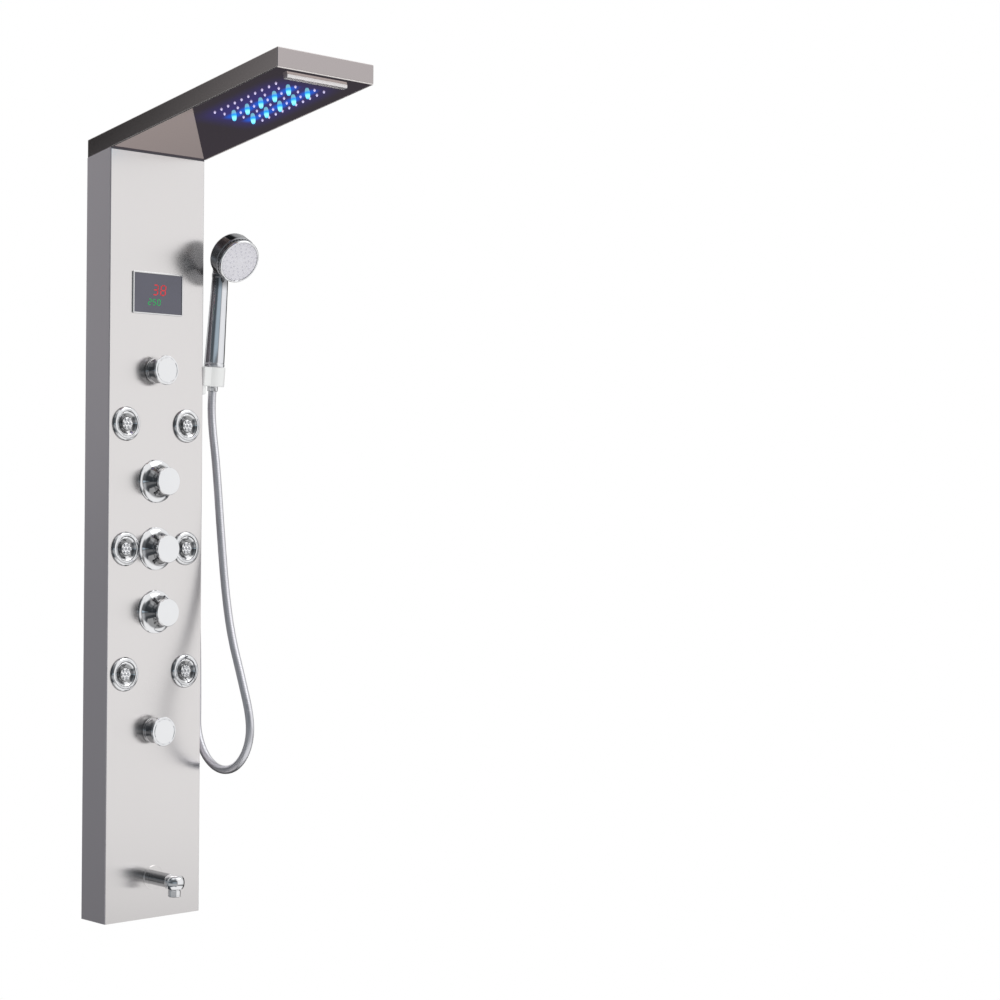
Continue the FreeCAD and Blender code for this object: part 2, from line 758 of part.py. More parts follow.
def knob(skirted):
    """A turned knob, hollow over its clamp nut: foot or skirt, drawn-in waist and flared disc."""
    reach = SKIRTED_KNOB_REACH if skirted else KNOB_REACH
    foot = KNOB_STANDOFF + (SKIRT_HEIGHT if skirted else KNOB_FOOT_HEIGHT)
    rim = reach - KNOB_RIM
    waist = [(KNOB_WAIST_RADIUS, foot + share * (rim - foot)) for share in KNOB_WAIST_SHARES]
    disc = SKIRTED_DISC_RADIUS if skirted else KNOB_DISC_RADIUS
    base = [(KNOB_FOOT_RADIUS, KNOB_STANDOFF), (KNOB_FOOT_RADIUS, foot)]
    if skirted:
        edge = KNOB_STANDOFF + SKIRT_EDGE
        base = [(SKIRT_RADIUS, KNOB_STANDOFF), (SKIRT_RADIUS, edge), (SKIRT_TOP_RADIUS, foot)]
    body = stacked(*base, *waist, (disc, rim), (disc, reach))
    hollow_top = THREAD_STANDOUT + MOVING_GAP
    bore_top = hollow_top + SPINDLE_IN_KNOB + TURNING_GAP
    hollow = reamed(CLAMP_NUT_RADIUS + MOVING_GAP, 0, hollow_top)
    return body.cut([hollow, turned(SPINDLE_RADIUS + TURNING_GAP, 0, bore_top)])


def spindle():
    """The stem that a knob turns, from inside the cartridge to inside the knob."""
    top = THREAD_STANDOUT + MOVING_GAP + SPINDLE_IN_KNOB
    return turned(SPINDLE_RADIUS, THREAD_STANDOUT - SPINDLE_IN_CARTRIDGE + MOVING_GAP, top)


def cartridge(radius, collar):
    """A ceramic cartridge: body in the valve, collar behind the sheet, threaded neck through it."""
    collar_back = -SHEET - COLLAR_THICKNESS
    pieces = [
        turned(radius, CARTRIDGE_BACK - PANEL_DEPTH, collar_back),
        turned(collar, collar_back, -SHEET),
        turned(CARTRIDGE_RADIUS, -SHEET, THREAD_STANDOUT),
    ]
    bore = reamed(SPINDLE_RADIUS + TURNING_GAP, THREAD_STANDOUT - SPINDLE_IN_CARTRIDGE, THREAD_STANDOUT)
    return fused(pieces).cut(bore)


def clamp_nut():
    """The six-sided nut that clamps a cartridge to the sheet."""
    nut = many_sided(NUT_SIDES, CLAMP_NUT_RADIUS, CLAMP_NUT_RADIUS, 0, CLAMP_NUT_THICKNESS)
    return nut.cut(turned(CARTRIDGE_RADIUS + FIT_GAP, 0, CLAMP_NUT_THICKNESS))


def boss(radius, bore, up):
    """A boss on a valve's front, and the bore in it that takes a cartridge."""
    back = RISER_DEPTH + VALVE_HALF_WIDTH - PANEL_DEPTH
    solid = on_front(turned(radius, back, VALVE_BOSS_FRONT - PANEL_DEPTH), 0, FRONT, up)
    pocket = on_front(turned(bore + FIT_GAP, CARTRIDGE_BACK - PANEL_DEPTH, 0), 0, FRONT, up)
    return solid, pocket


def valve_body(up):
    """A brass valve: an upright block that the pipes butt against, and a boss for the cartridge."""
    half = VALVE_HALF_WIDTH
    block = box((-half, half), (RISER - half, RISER + half), (up - VALVE_HALF_HEIGHT, up + VALVE_HALF_HEIGHT))
    solid, pocket = boss(VALVE_BOSS_RADIUS, CARTRIDGE_RADIUS, up)
    return fused([block, solid]).cut(pocket)


def mixer_body():
    """The mixing valve: a cross-shaped block, a boss for the cartridge and two inlets towards the wall."""
    up = MIXER_CONTROL_UP
    front = RISER - VALVE_HALF_WIDTH
    back = RISER + VALVE_HALF_WIDTH
    reach = INLET_OFFSET + INLET_COLLAR_RADIUS
    solid, pocket = boss(MIXER_RADIUS, MIXER_CARTRIDGE_RADIUS, up)
    pieces = [
        box((-MIXER_RADIUS, MIXER_RADIUS), (front, back), (up - VALVE_HALF_HEIGHT, up + VALVE_HALF_HEIGHT)),
        box((-reach, reach), (front, -INLET_BAR_BACK), (up - INLET_BAR_HALF_HEIGHT, up + INLET_BAR_HALF_HEIGHT)),
        solid,
    ]
    root = INLET_COLLAR_THICKNESS - INLET_BAR_BACK
    for side in SIDES:
        x = side * INLET_OFFSET
        pieces.append(rod(INLET_COLLAR_RADIUS, (x, -INLET_BAR_BACK, up), (x, root, up)))
        pieces.append(rod(INLET_THREAD_RADIUS, (x, root, up), (x, root + INLET_THREAD_LENGTH, up)))
    return fused(pieces).cut(pocket)


def supply_risers():
    """Straight tubes that link the valves, end to end."""
    ends = [up for up, _ in sorted(CONTROLS.values())]
    tubes = []
    for low, high in zip(ends, ends[1:]):
        tubes.append(turned(RISER_RADIUS, low + VALVE_HALF_HEIGHT, high - VALVE_HALF_HEIGHT))
        tubes[-1].translate(Vector(0, RISER, 0))
    return Part.makeCompound(tubes)


def jet_manifold():
    """Two square rails behind the jets, each fed from the side of the jets valve."""
    half = JET_RAIL_HALF_WIDTH
    reach = JET_ROW_PITCH + JET_RAIL_END
    depth = (RISER - half, RISER + half)
    halves = []
    for side in SIDES:
        x = side * JET_OFFSET
        rail = box((x - half, x + half), depth, (MIXER_CONTROL_UP - reach, MIXER_CONTROL_UP + reach))
        feed = box((side * VALVE_HALF_WIDTH, x), depth, (JETS_CONTROL_UP - half, JETS_CONTROL_UP + half))
        halves.append(fused([rail, feed]))
    return Part.makeCompound(halves)


def jet_ring():
    """The sloped chrome ring that holds a jet's ball, built from the front face out."""
    centre = PANEL_DEPTH - JET_BALL_DEPTH
    clear = (JET_SOCKET_RADIUS + TURNING_GAP) / math.cos(math.pi / SHOWN_SIDES)
    foot = math.sqrt(clear**2 - centre**2)
    lip = math.sqrt(clear**2 - (centre + JET_RING_HEIGHT) ** 2)
    ring = stacked((JET_RING_RADIUS, 0), (JET_RING_RADIUS - JET_RING_CROWN, JET_RING_HEIGHT))
    return ring.cut(stacked((foot, 0), (lip, JET_RING_HEIGHT)))


def jet_body():
    """The cup behind a jet, with the spigot that meets its rail."""
    back = JET_BODY_BACK - PANEL_DEPTH
    floor = JET_BALL_DEPTH - PANEL_DEPTH - JET_SOCKET_RADIUS
    rail = RISER_DEPTH + JET_RAIL_HALF_WIDTH - PANEL_DEPTH
    cup = turned(JET_BODY_RADIUS, back, 0)
    return fused([cup, turned(JET_SPIGOT_RADIUS, rail, back)]).cut(reamed(JET_SOCKET_RADIUS, floor, 0))


def jet_nut():
    """The ring nut that draws a jet against the sheet."""
    back = -SHEET - JET_NUT_THICKNESS
    nut = many_sided(JET_NUT_SIDES, JET_NUT_RADIUS, JET_NUT_RADIUS, back, -SHEET)
    return nut.cut(turned(JET_BODY_RADIUS + FIT_GAP, back, -SHEET))


def jet_ball():
    """The swivelling nozzle: a ball cut flat at both ends, with a crown of spray holes in a dish."""
    centre = JET_BALL_DEPTH - PANEL_DEPTH
    steps = [-JET_BALL_BACK, *(share * JET_BALL_RADIUS for share in JET_BALL_SHARES), JET_BALL_FACE]
    zone = [(math.sqrt(JET_BALL_RADIUS**2 - step**2), centre + step) for step in steps]
    face = centre + JET_BALL_FACE
    floor = face - JET_DISH_DEPTH
    top = floor + JET_CROWN_HEIGHT
    ball = stacked(*zone).cut(stacked((JET_DISH_FLOOR_RADIUS, floor), (JET_DISH_RADIUS, face)))
    crown = turned(JET_CROWN_TIP_RADIUS, floor, top, JET_CROWN_RADIUS)
    turns = [2 * math.pi * hole / JET_HOLES for hole in range(JET_HOLES)]
    holes = []
    for turn in turns:
        place = (JET_HOLE_CIRCLE * math.cos(turn), JET_HOLE_CIRCLE * math.sin(turn))
        holes.append(many_sided(NOZZLE_SIDES, JET_HOLE_RADIUS, JET_HOLE_RADIUS, top - JET_HOLE_DEPTH, top, place))
    return fused([ball, crown]).cut(holes)


def at_jets(shape):
    """Copies of a jet piece at all six places."""
    return [on_front(shape, x, FRONT, up) for x, up in JETS.values()]


def spout_body():
    """The spout: a straight tube from the rosette and an upright end with sloped rims."""
    root = FRONT - ROSETTE_THICKNESS
    end = FRONT - SPOUT_REACH
    high = SPOUT_END_HEIGHT / 2
    rim = SPOUT_END_RADIUS - SPOUT_END_SLOPE
    drum = lathe(
        (0, -high),
        (rim, -high),
        (SPOUT_END_RADIUS, SPOUT_END_SLOPE - high),
        (SPOUT_END_RADIUS, high - SPOUT_END_SLOPE),
        (rim, high),
        (0, high),
    )
    drum.translate(Vector(0, end, SPOUT_UP))
    pipe = rod(SPOUT_RADIUS, (0, root, SPOUT_UP), (0, end, SPOUT_UP))
    socket = turned(SHANK_RADIUS + FIT_GAP, 0, ROSETTE_THICKNESS + SHANK_IN_SPOUT)
    return fused([pipe.cut(drum), drum]).cut(on_front(socket, 0, FRONT, SPOUT_UP))


def spout_aerator():
    """The aerator under the spout's end, with a shallow mouth."""
    aerator = rod(AERATOR_RADIUS, (0, 0, -AERATOR_DROP), (0, 0, 0))
    aerator = aerator.cut(turned(AERATOR_MOUTH_RADIUS, -AERATOR_DROP, AERATOR_MOUTH_DEPTH - AERATOR_DROP))
    aerator.translate(Vector(0, FRONT - SPOUT_REACH, SPOUT_UP - SPOUT_END_HEIGHT / 2))
    return aerator


def spout_rosette():
    """The thin plate between the spout and the column."""
    plate = rod(ROSETTE_RADIUS, (0, 0, 0), (0, 0, ROSETTE_THICKNESS))
    return on_front(plate.cut(turned(SHANK_RADIUS + FIT_GAP, 0, ROSETTE_THICKNESS)), 0, FRONT, SPOUT_UP)


def spout_shank():
    """The threaded shank that carries the spout, with the block that takes its pipe."""
    half = SHANK_BLOCK_HALF_WIDTH
    block = box((-half, half), (RISER - half, RISER + half), (SPOUT_UP - half, SPOUT_UP + SHANK_BLOCK_UP))
    shank = turned(SHANK_RADIUS, RISER_DEPTH + half - PANEL_DEPTH, ROSETTE_THICKNESS + SHANK_IN_SPOUT)
    return fused([block, on_front(shank, 0, FRONT, SPOUT_UP)])


def lock_nut(radius):
    """A six-sided nut behind the sheet, built from the outer face in."""
    outer = radius + LOCK_NUT_BORDER
    back = -SHEET - LOCK_NUT_THICKNESS
    return many_sided(NUT_SIDES, outer, outer, back, -SHEET).cut(turned(radius + FIT_GAP, back, -SHEET))


def lock_nuts():
    """The nuts that hold the spout's shank and the hose outlet."""
    return Part.makeCompound(
        [
            on_front(lock_nut(SHANK_RADIUS), 0, FRONT, SPOUT_UP),
            on_side(lock_nut(OUTLET_RADIUS), HALF_WIDTH, RISER, OUTLET_UP),
        ]
    )


def hose_outlet():
    """The elbow that leaves the column's right side and turns down."""
    half = OUTLET_BLOCK_HALF_WIDTH
    block = INNER_HALF_WIDTH - OUTLET_BLOCK_INSET
    height = (OUTLET_UP - OUTLET_BLOCK_DOWN, OUTLET_UP + OUTLET_BLOCK_UP)
    flange = (HALF_WIDTH + OUTLET_FLANGE_THICKNESS, RISER, OUTLET_UP)
    knee_top = (OUTLET_AXIS, RISER, OUTLET_UP + OUTLET_KNEE_RADIUS)
    knee_low = (OUTLET_AXIS, RISER, OUTLET_UP - OUTLET_KNEE_RADIUS)
    shank = on_side(turned(OUTLET_RADIUS, block - HALF_WIDTH, OUTLET_STANDOUT), HALF_WIDTH, RISER, OUTLET_UP)
    return fused(
        [
            box((block - half, block + half), (RISER - half, RISER + half), height),
            shank,
            rod(OUTLET_FLANGE_RADIUS, (HALF_WIDTH, RISER, OUTLET_UP), flange),
            rod(OUTLET_KNEE_RADIUS, knee_top, knee_low),
            rod(OUTLET_RADIUS, knee_low, (OUTLET_AXIS, RISER, OUTLET_UP - OUTLET_STUB_LENGTH)),
        ]
    )


def hose_outlet_nut():
    """The hose's lower nut: open above for the outlet, with a floor that the hose meets."""
    nut = lathe(
        (0, 0),
        (HOSE_NUT_FOOT_RADIUS, 0),
        (HOSE_NUT_RADIUS, HOSE_NUT_FLOOR),
        (HOSE_NUT_RADIUS, HOSE_NUT_LENGTH),
        (0, HOSE_NUT_LENGTH),
    )
    nut = nut.cut(reamed(OUTLET_RADIUS + FIT_GAP, HOSE_NUT_FLOOR, HOSE_NUT_LENGTH))
    nut.translate(Vector(OUTLET_AXIS, RISER, HOSE_NUT_BOTTOM))
    return nut


def hose_points():
    """The hose's corner points, from the cone nut's foot to the lower nut's floor."""
    top = handset_point(-CONE_NUT_LENGTH - MOVING_GAP)
    return [tuple(top), *HOSE_ROUTE, (OUTLET_AXIS, RISER, HOSE_NUT_BOTTOM)]


def hose_radii(points):
    """The bend radius at each inner point: as large as its two runs allow."""
    corners = [Vector(*point) for point in points]
    radii = []
    for before, corner, after in zip(corners, corners[1:], corners[2:]):
        turn = (corner - before).getAngle(after - corner)
        shorter = min((corner - before).Length, (after - corner).Length)
        radii.append(HOSE_BEND_SHARE * shorter / math.tan(turn / 2))
    return radii


def shower_hose():
    """The free hose, one smooth tube; prints its bends and compares its volume with its length."""
    points = hose_points()
    radii = hose_radii(points)
    hose = tube(points, radii, HOSE_RADIUS)
    length = bent_path(points, radii).Length
    print("hose radii:", ", ".join(f"{radius:.0f}" for radius in radii))
    print(f"hose length {length:.0f}, volume over section times length", end=" ")
    print(f"{hose.Volume / (math.pi * HOSE_RADIUS**2 * length):.4f}")
    return hose


def cone_nut():
    """The tapered nut on the hose's upper end, seated in the holder."""
    return in_handset(
        Part.makeCone(CONE_NUT_FOOT_RADIUS, CONE_NUT_TOP_RADIUS, CONE_NUT_LENGTH, Vector(0, 0, -CONE_NUT_LENGTH))
    )


def holder_screw_places():
    """The (y, z) places of the two screws that hold the holder's base."""
    y = HOLDER_BASE_WIDTH / 2 - HOLDER_BASE_FRONT
    middle = HANDSET_FOOT_UP - HOLDER_BASE_HEIGHT / 2
    return [(y, middle + side * HOLDER_SCREW_PITCH / 2) for side in SIDES]


def handset_holder():
    """The holder: base on the column's side, arm, and a tapered cup that opens to the right."""
    seat = -MOVING_GAP
    cup = rod(HOLDER_CUP_RADIUS, (0, 0, seat - HOLDER_HEIGHT), (0, 0, seat))
    slot = box(
        (0, HOLDER_CUP_RADIUS + CUT_OVERRUN),
        (-HOLDER_SLOT / 2, HOLDER_SLOT / 2),
        (-HOLDER_HEIGHT - CUT_OVERRUN, CUT_OVERRUN),
    )
    slope = (CONE_NUT_TOP_RADIUS - CONE_NUT_FOOT_RADIUS) / CONE_NUT_LENGTH
    low = -HOLDER_HEIGHT - CUT_OVERRUN
    bore = Part.makeCone(
        CONE_NUT_TOP_RADIUS + MOVING_GAP + slope * low,
        CONE_NUT_TOP_RADIUS + MOVING_GAP + slope * CUT_OVERRUN,
        CUT_OVERRUN - low,
        Vector(0, 0, low),
    )
    back = HALF_WIDTH - HANDSET_OFFSET
    arm = box((back, 0), (-HOLDER_ARM_WIDTH / 2, HOLDER_ARM_WIDTH / 2), (seat - HOLDER_HEIGHT, seat))
    base = box(
        (HALF_WIDTH, HALF_WIDTH + HOLDER_BASE_THICKNESS),
        (-HOLDER_BASE_FRONT, HOLDER_BASE_WIDTH - HOLDER_BASE_FRONT),
        (HANDSET_FOOT_UP - HOLDER_BASE_HEIGHT, HANDSET_FOOT_UP),
    )
    screw = turned(HOLDER_SCREW_RADIUS + FIT_GAP, 0, HOLDER_SCREW_DEPTH)
    screws = [on_side(screw, HALF_WIDTH, y, z) for y, z in holder_screw_places()]
    return fused([in_handset(fused([cup, arm])), base]).cut([in_handset(slot), in_handset(bore), *screws])


def holder_screws():
    """The two screws from inside the column into the holder's base."""
    back = -SHEET - HOLDER_SCREW_HEAD
    cap = many_sided(NUT_SIDES, HOLDER_SCREW_HEAD_RADIUS, HOLDER_SCREW_HEAD_RADIUS, back, -SHEET)
    screw = fused([cap, turned(HOLDER_SCREW_RADIUS, back, HOLDER_SCREW_DEPTH - FIT_GAP)])
    return Part.makeCompound([on_side(screw, HALF_WIDTH, y, z) for y, z in holder_screw_places()])


def on_spray(shape):
    """A shape built up along +Z from the spray face's plane, turned so that +Z leaves the face."""
    placed = shape.copy()
    placed.rotate(Vector(), Vector(1, 0, 0), 90 + SPRAY_TILT)
    placed.translate(Vector(0, -SPRAY_FORWARD, HANDLE_LENGTH + SPRAY_RISE))
    placed.rotate(Vector(), Vector(0, 0, 1), SPRAY_TWIST)
    return in_handset(placed)


def handset_body():
    """The hand shower's moulding: tapered handle with a domed top, and drum-shaped head."""
    neck = Vector(0, 0, HANDLE_LENGTH)
    cone = Part.makeCone(HANDLE_FOOT_RADIUS, HANDLE_NECK_RADIUS, HANDLE_LENGTH)
    handle = fused([cone, Part.makeSphere(HANDLE_NECK_RADIUS, neck)])
    drum = on_spray(
        lathe(
            (0, -TRIM_HEIGHT),
            (SPRAY_RADIUS, -TRIM_HEIGHT),
            (SPRAY_RADIUS, -DRUM_FRONT_DEPTH),
            (DRUM_RADIUS, -DRUM_FRONT_DEPTH),
            (DRUM_RADIUS, -SPRAY_SHOULDER_DEPTH),
            (SPRAY_BACK_RADIUS, -SPRAY_BACK_DEPTH),
            (SPRAY_CROWN_RADIUS, -SPRAY_BODY_DEPTH),
            (0, -SPRAY_BODY_DEPTH),
        )
    )
    return fused([in_handset(handle).cut(drum), drum])


def handset_trim():
    """The chrome ring round the spray face."""
    inner = SPRAY_RADIUS - TRIM_WIDTH
    return on_spray(
        lathe((inner, -TRIM_HEIGHT), (SPRAY_RADIUS, -TRIM_HEIGHT), (SPRAY_RADIUS - TRIM_SLOPE, 0), (inner, 0))
    )


def handset_face():
    """The spray plate inside the trim ring."""
    radius = SPRAY_RADIUS - TRIM_WIDTH - FIT_GAP
    return on_spray(rod(radius, (0, 0, -TRIM_HEIGHT), (0, 0, SPRAY_FACE_THICKNESS - TRIM_HEIGHT)))


def handset_nozzles():
    """Rings of small soft nozzles on the spray plate."""
    low = SPRAY_FACE_THICKNESS - TRIM_HEIGHT
    dots = []
    for count, circle in zip(SPRAY_DOT_COUNTS, SPRAY_DOT_CIRCLES):
        for step in range(count):
            turn = 2 * math.pi * step / count
            place = (circle * math.cos(turn), circle * math.sin(turn))
            sizes = (NOZZLE_SIDES, SPRAY_DOT_RADIUS, SPRAY_DOT_RADIUS, low, low + SPRAY_DOT_HEIGHT)
            dots.append(many_sided(*sizes, place))
    return on_spray(Part.makeCompound(dots))


def control_nodes():
    """Knobs, spindles, cartridges, nuts and valve bodies of the five controls."""
    nodes = {}
    plain = cartridge(CARTRIDGE_RADIUS, COLLAR_RADIUS)
    nuts = []
    cartridges = []
    for name, (up, skirted) in CONTROLS.items():
        nodes[f"{name}_knob"] = on_front(knob(skirted), 0, FRONT, up)
        nodes[f"{name}_spindle"] = on_front(spindle(), 0, FRONT, up)
        nuts.append(on_front(clamp_nut(), 0, FRONT, up))
        if name == "mixer":
            mixer_cartridge = cartridge(MIXER_CARTRIDGE_RADIUS, MIXER_RADIUS)
            nodes["mixer_cartridge"] = on_front(mixer_cartridge, 0, FRONT, up)
            nodes["mixer_body"] = mixer_body()
        else:
            cartridges.append(on_front(plain, 0, FRONT, up))
            nodes[f"{name}_valve_body"] = valve_body(up)
    nodes["valve_cartridges"] = Part.makeCompound(cartridges)
    nodes["clamp_nuts"] = Part.makeCompound(nuts)
    return nodes


def jet_nodes():
    """The six jets: balls apart, the fixed pieces in groups."""
    nodes = {
        "jet_rings": Part.makeCompound(at_jets(jet_ring())),
        "jet_bodies": Part.makeCompound(at_jets(jet_body())),
        "jet_nuts": Part.makeCompound(at_jets(jet_nut())),
        "jet_manifold": jet_manifold(),
    }
    for name, ball in zip(JETS, at_jets(jet_ball())):
        nodes[f"jet_ball_{name}"] = ball
    return nodes


def all_nodes():
    """Every node of the part by name."""
    return {
        "front_panel": front_panel(),
        "wall_brackets": wall_brackets(),
        "hanging_rails": hanging_rails(),
        "head_shell": head_shell(),
        "head_plate": head_plate(),
        "head_gussets": head_gussets(),
        "rain_chamber": rain_chamber(),
        "rain_nozzles": rain_nozzles(),
        "led_lenses": led_lenses(),
        "waterfall_outlet": waterfall_outlet(),
        "display_bezel": display_bezel(),
        "display_glass": display_glass(),
        "display_case": display_case(),
        **control_nodes(),
        "supply_risers": supply_risers(),
        "outlet_pipes": outlet_pipes(),
        **jet_nodes(),
        "spout_body": spout_body(),
        "spout_aerator": spout_aerator(),
        "spout_rosette": spout_rosette(),
        "spout_shank": spout_shank(),
        "lock_nuts": lock_nuts(),
        "hose_outlet": hose_outlet(),
        "hose_outlet_nut": hose_outlet_nut(),
        "shower_hose": shower_hose(),
        "hose_cone_nut": cone_nut(),
        "handset_holder": handset_holder(),
        "holder_screws": holder_screws(),
        "handset_body": handset_body(),
        "handset_trim": handset_trim(),
        "handset_face": handset_face(),
        "handset_nozzles": handset_nozzles(),
    }


def main():
    """Write one STEP file per node."""
    os.makedirs("parts", exist_ok=True)
    for name, shape in all_nodes().items():
        shape.exportStep(f"parts/{name}.step")


main()
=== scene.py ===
"""Shower panel: finishes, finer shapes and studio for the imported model.

Sizes are millimetres unless a name says otherwise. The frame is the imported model's: +Z is up, +X is to the
viewer's right, the front faces -Y and the wall is the plane y = 0.
"""
import logging
import math
from dataclasses import dataclass
from enum import Enum
from typing import Any, Callable, Iterable, Mapping, Sequence, Union

import bmesh
import bpy
from mathutils import Matrix, Vector


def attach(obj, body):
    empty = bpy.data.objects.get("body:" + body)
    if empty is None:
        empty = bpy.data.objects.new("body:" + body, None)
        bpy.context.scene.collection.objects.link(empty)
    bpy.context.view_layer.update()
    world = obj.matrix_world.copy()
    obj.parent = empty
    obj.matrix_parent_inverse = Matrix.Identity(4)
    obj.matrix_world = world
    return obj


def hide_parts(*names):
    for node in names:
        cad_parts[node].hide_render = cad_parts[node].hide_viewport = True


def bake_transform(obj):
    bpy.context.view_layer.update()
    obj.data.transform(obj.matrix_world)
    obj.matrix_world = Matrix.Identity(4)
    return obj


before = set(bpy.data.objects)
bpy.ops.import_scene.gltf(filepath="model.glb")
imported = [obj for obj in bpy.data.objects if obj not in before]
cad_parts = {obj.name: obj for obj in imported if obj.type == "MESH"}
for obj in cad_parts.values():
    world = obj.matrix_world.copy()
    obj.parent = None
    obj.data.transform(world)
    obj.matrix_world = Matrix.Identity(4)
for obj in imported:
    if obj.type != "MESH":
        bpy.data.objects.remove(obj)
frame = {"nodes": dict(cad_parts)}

LOG = logging.getLogger("shower_panel")
MM = 0.001
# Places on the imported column: its front, its right side, its top and the depth of the pipes behind it.
FRONT = -64.0
SIDE = 100.0
HALF_HEIGHT = 630.0
RISER = -20.0
# The head's tilt in degrees.
TILT = 9.5
DOWN = Vector((0.0, 0.0, -1.0))
OUTWARD = Vector((0.0, -1.0, 0.0))
WHITE = (1.0, 1.0, 1.0)

Pair = tuple[float, float]
Triple = tuple[float, float, float]
Colour = Triple
Number = Union["Sock", float]
Outline = Sequence[Pair]


def operator(operation: str, swapped: bool = False) -> Callable[["Sock", Number], "Sock"]:
    """A method of Sock that adds one Math node on the socket and another value.

    Args:
        operation: The node's operation.
        swapped: Whether the other value comes first.

    Returns:
        The method.
    """

    def method(this: "Sock", other: Number) -> "Sock":
        """Add the node."""
        return this.calc(operation, *((other, this) if swapped else (this, other)))

    return method


class Sock:
    """An output socket that does arithmetic.

    Args:
        paint: The tree that the socket belongs to.
        socket: The output socket.
    """

    def __init__(self, paint: "Paint", socket: bpy.types.NodeSocket) -> None:
        self.paint = paint
        self.socket = socket

    def calc(self, operation: str, *values: Number) -> "Sock":
        """One Math node on the values."""
        return self.paint.node("ShaderNodeMath", {"operation": operation}, dict(enumerate(values)))

    __add__ = __radd__ = operator("ADD")
    __sub__ = operator("SUBTRACT")
    __rsub__ = operator("SUBTRACT", swapped=True)
    __mul__ = __rmul__ = operator("MULTIPLY")
    __truediv__ = operator("DIVIDE")
    __pow__ = operator("POWER")

    def larger(self, other: "Sock") -> "Sock":
        """The larger of two values."""
        return self.calc("MAXIMUM", self, other)

    def size(self) -> "Sock":
        """Absolute value."""
        return self.calc("ABSOLUTE", self)

    def turn_from(self, other: "Sock") -> "Sock":
        """Angle whose sine goes with this value and whose cosine goes with the other."""
        return self.calc("ARCTAN2", self, other)

    def wrapped(self, half: float) -> "Sock":
        """The value wrapped into -half to half."""
        return self.calc("WRAP", self, half, -half)

    def rise(self, low: float, high: float) -> "Sock":
        """A smooth step from 0 at low to 1 at high."""
        inputs = {"Value": self, "From Min": low, "From Max": high}
        return self.paint.node("ShaderNodeMapRange", {"interpolation_type": "SMOOTHSTEP"}, inputs)


class Paint:
    """A node tree being wired, for a material or the world.

    Args:
        tree: The tree, which is emptied first.
    """

    def __init__(self, tree: bpy.types.NodeTree) -> None:
        self.tree = tree
        tree.nodes.clear()

    def node(
        self,
        kind: str,
        settings: Mapping[str, Any] | None = None,
        inputs: Mapping[str | int, Any] | None = None,
        output: str | int = 0,
    ) -> Sock:
        """Add one node.

        Args:
            kind: The node's type.
            settings: Its own settings; stops is a list of (place, colour) for a ramp.
            inputs: Values or sockets by input name or number.
            output: The output to hand back.

        Returns:
            The chosen output.
        """
        node = self.tree.nodes.new(kind)
        for key, value in (settings or {}).items():
            if key == "stops":
                while len(node.color_ramp.elements) < len(value):
                    node.color_ramp.elements.new(1.0)
                for element, (place, colour) in zip(node.color_ramp.elements, value):
                    element.position = place
                    element.color = (*colour, 1.0)
            else:
                setattr(node, key, value)
        for key, value in (inputs or {}).items():
            socket = node.inputs[key]
            if isinstance(value, Sock):
                self.tree.links.new(value.socket, socket)
            elif socket.type == "RGBA":
                socket.default_value = (*value, 1.0)
            else:
                socket.default_value = value
        return Sock(self, node.outputs[output]) if node.outputs else Sock(self, None)

    def mix(self, factor: Number, first: Any, second: Any) -> Sock:
        """A colour between two, by a factor."""
        inputs = {0: factor, 6: first, 7: second}
        return self.node("ShaderNodeMix", {"data_type": "RGBA"}, inputs, 2)

    def place(self, stretch: Triple = (1.0, 1.0, 1.0)) -> Sock:
        """Object coordinates in metres, stretched per axis."""
        coords = self.node("ShaderNodeTexCoord", output="Object")
        return self.node("ShaderNodeVectorMath", {"operation": "MULTIPLY"}, {0: coords, 1: stretch})

    def split(self, vector: Sock) -> tuple[Sock, Sock, Sock]:
        """The three parts of a vector."""
        first = self.node("ShaderNodeSeparateXYZ", None, {0: vector})
        outputs = first.socket.node.outputs
        return first, Sock(self, outputs[1]), Sock(self, outputs[2])

    def rays(self) -> tuple[Sock, Sock]:
        """Whether a ray comes straight from the camera, and whether from metal or glass."""
        camera = self.node("ShaderNodeLightPath", output="Is Camera Ray")
        outputs = camera.socket.node.outputs
        glossy, clear = (Sock(self, outputs[kind]) for kind in ("Is Glossy Ray", "Is Transmission Ray"))
        return camera, glossy.larger(clear)

    def noise(self, scale: float, detail: float = 2.0, stretch: Triple = (1.0, 1.0, 1.0)) -> Sock:
        """Noise on object coordinates, about 0.5.

        Args:
            scale: Cells per metre.
            detail: Octaves.
            stretch: Stretch of the coordinates; a small part draws the noise out along that axis.

        Returns:
            The noise value.
        """
        inputs = {"Vector": self.place(stretch), "Scale": scale, "Detail": detail}
        return self.node("ShaderNodeTexNoise", None, inputs)

    def bump(self, height: Number, strength: float, distance: float) -> Sock:
        """A normal bent by a height, with distance in metres."""
        inputs = {"Height": height, "Strength": strength, "Distance": distance}
        return self.node("ShaderNodeBump", None, inputs)

    def surface(self, inputs: Mapping[str, Any]) -> None:
        """End a material with one Principled shader."""
        shader = self.node("ShaderNodeBsdfPrincipled", None, inputs)
        self.node("ShaderNodeOutputMaterial", None, {"Surface": shader})


def shaded(colour: Colour, share: float) -> Colour:
    """A colour made lighter or darker."""
    return tuple(part * share for part in colour)


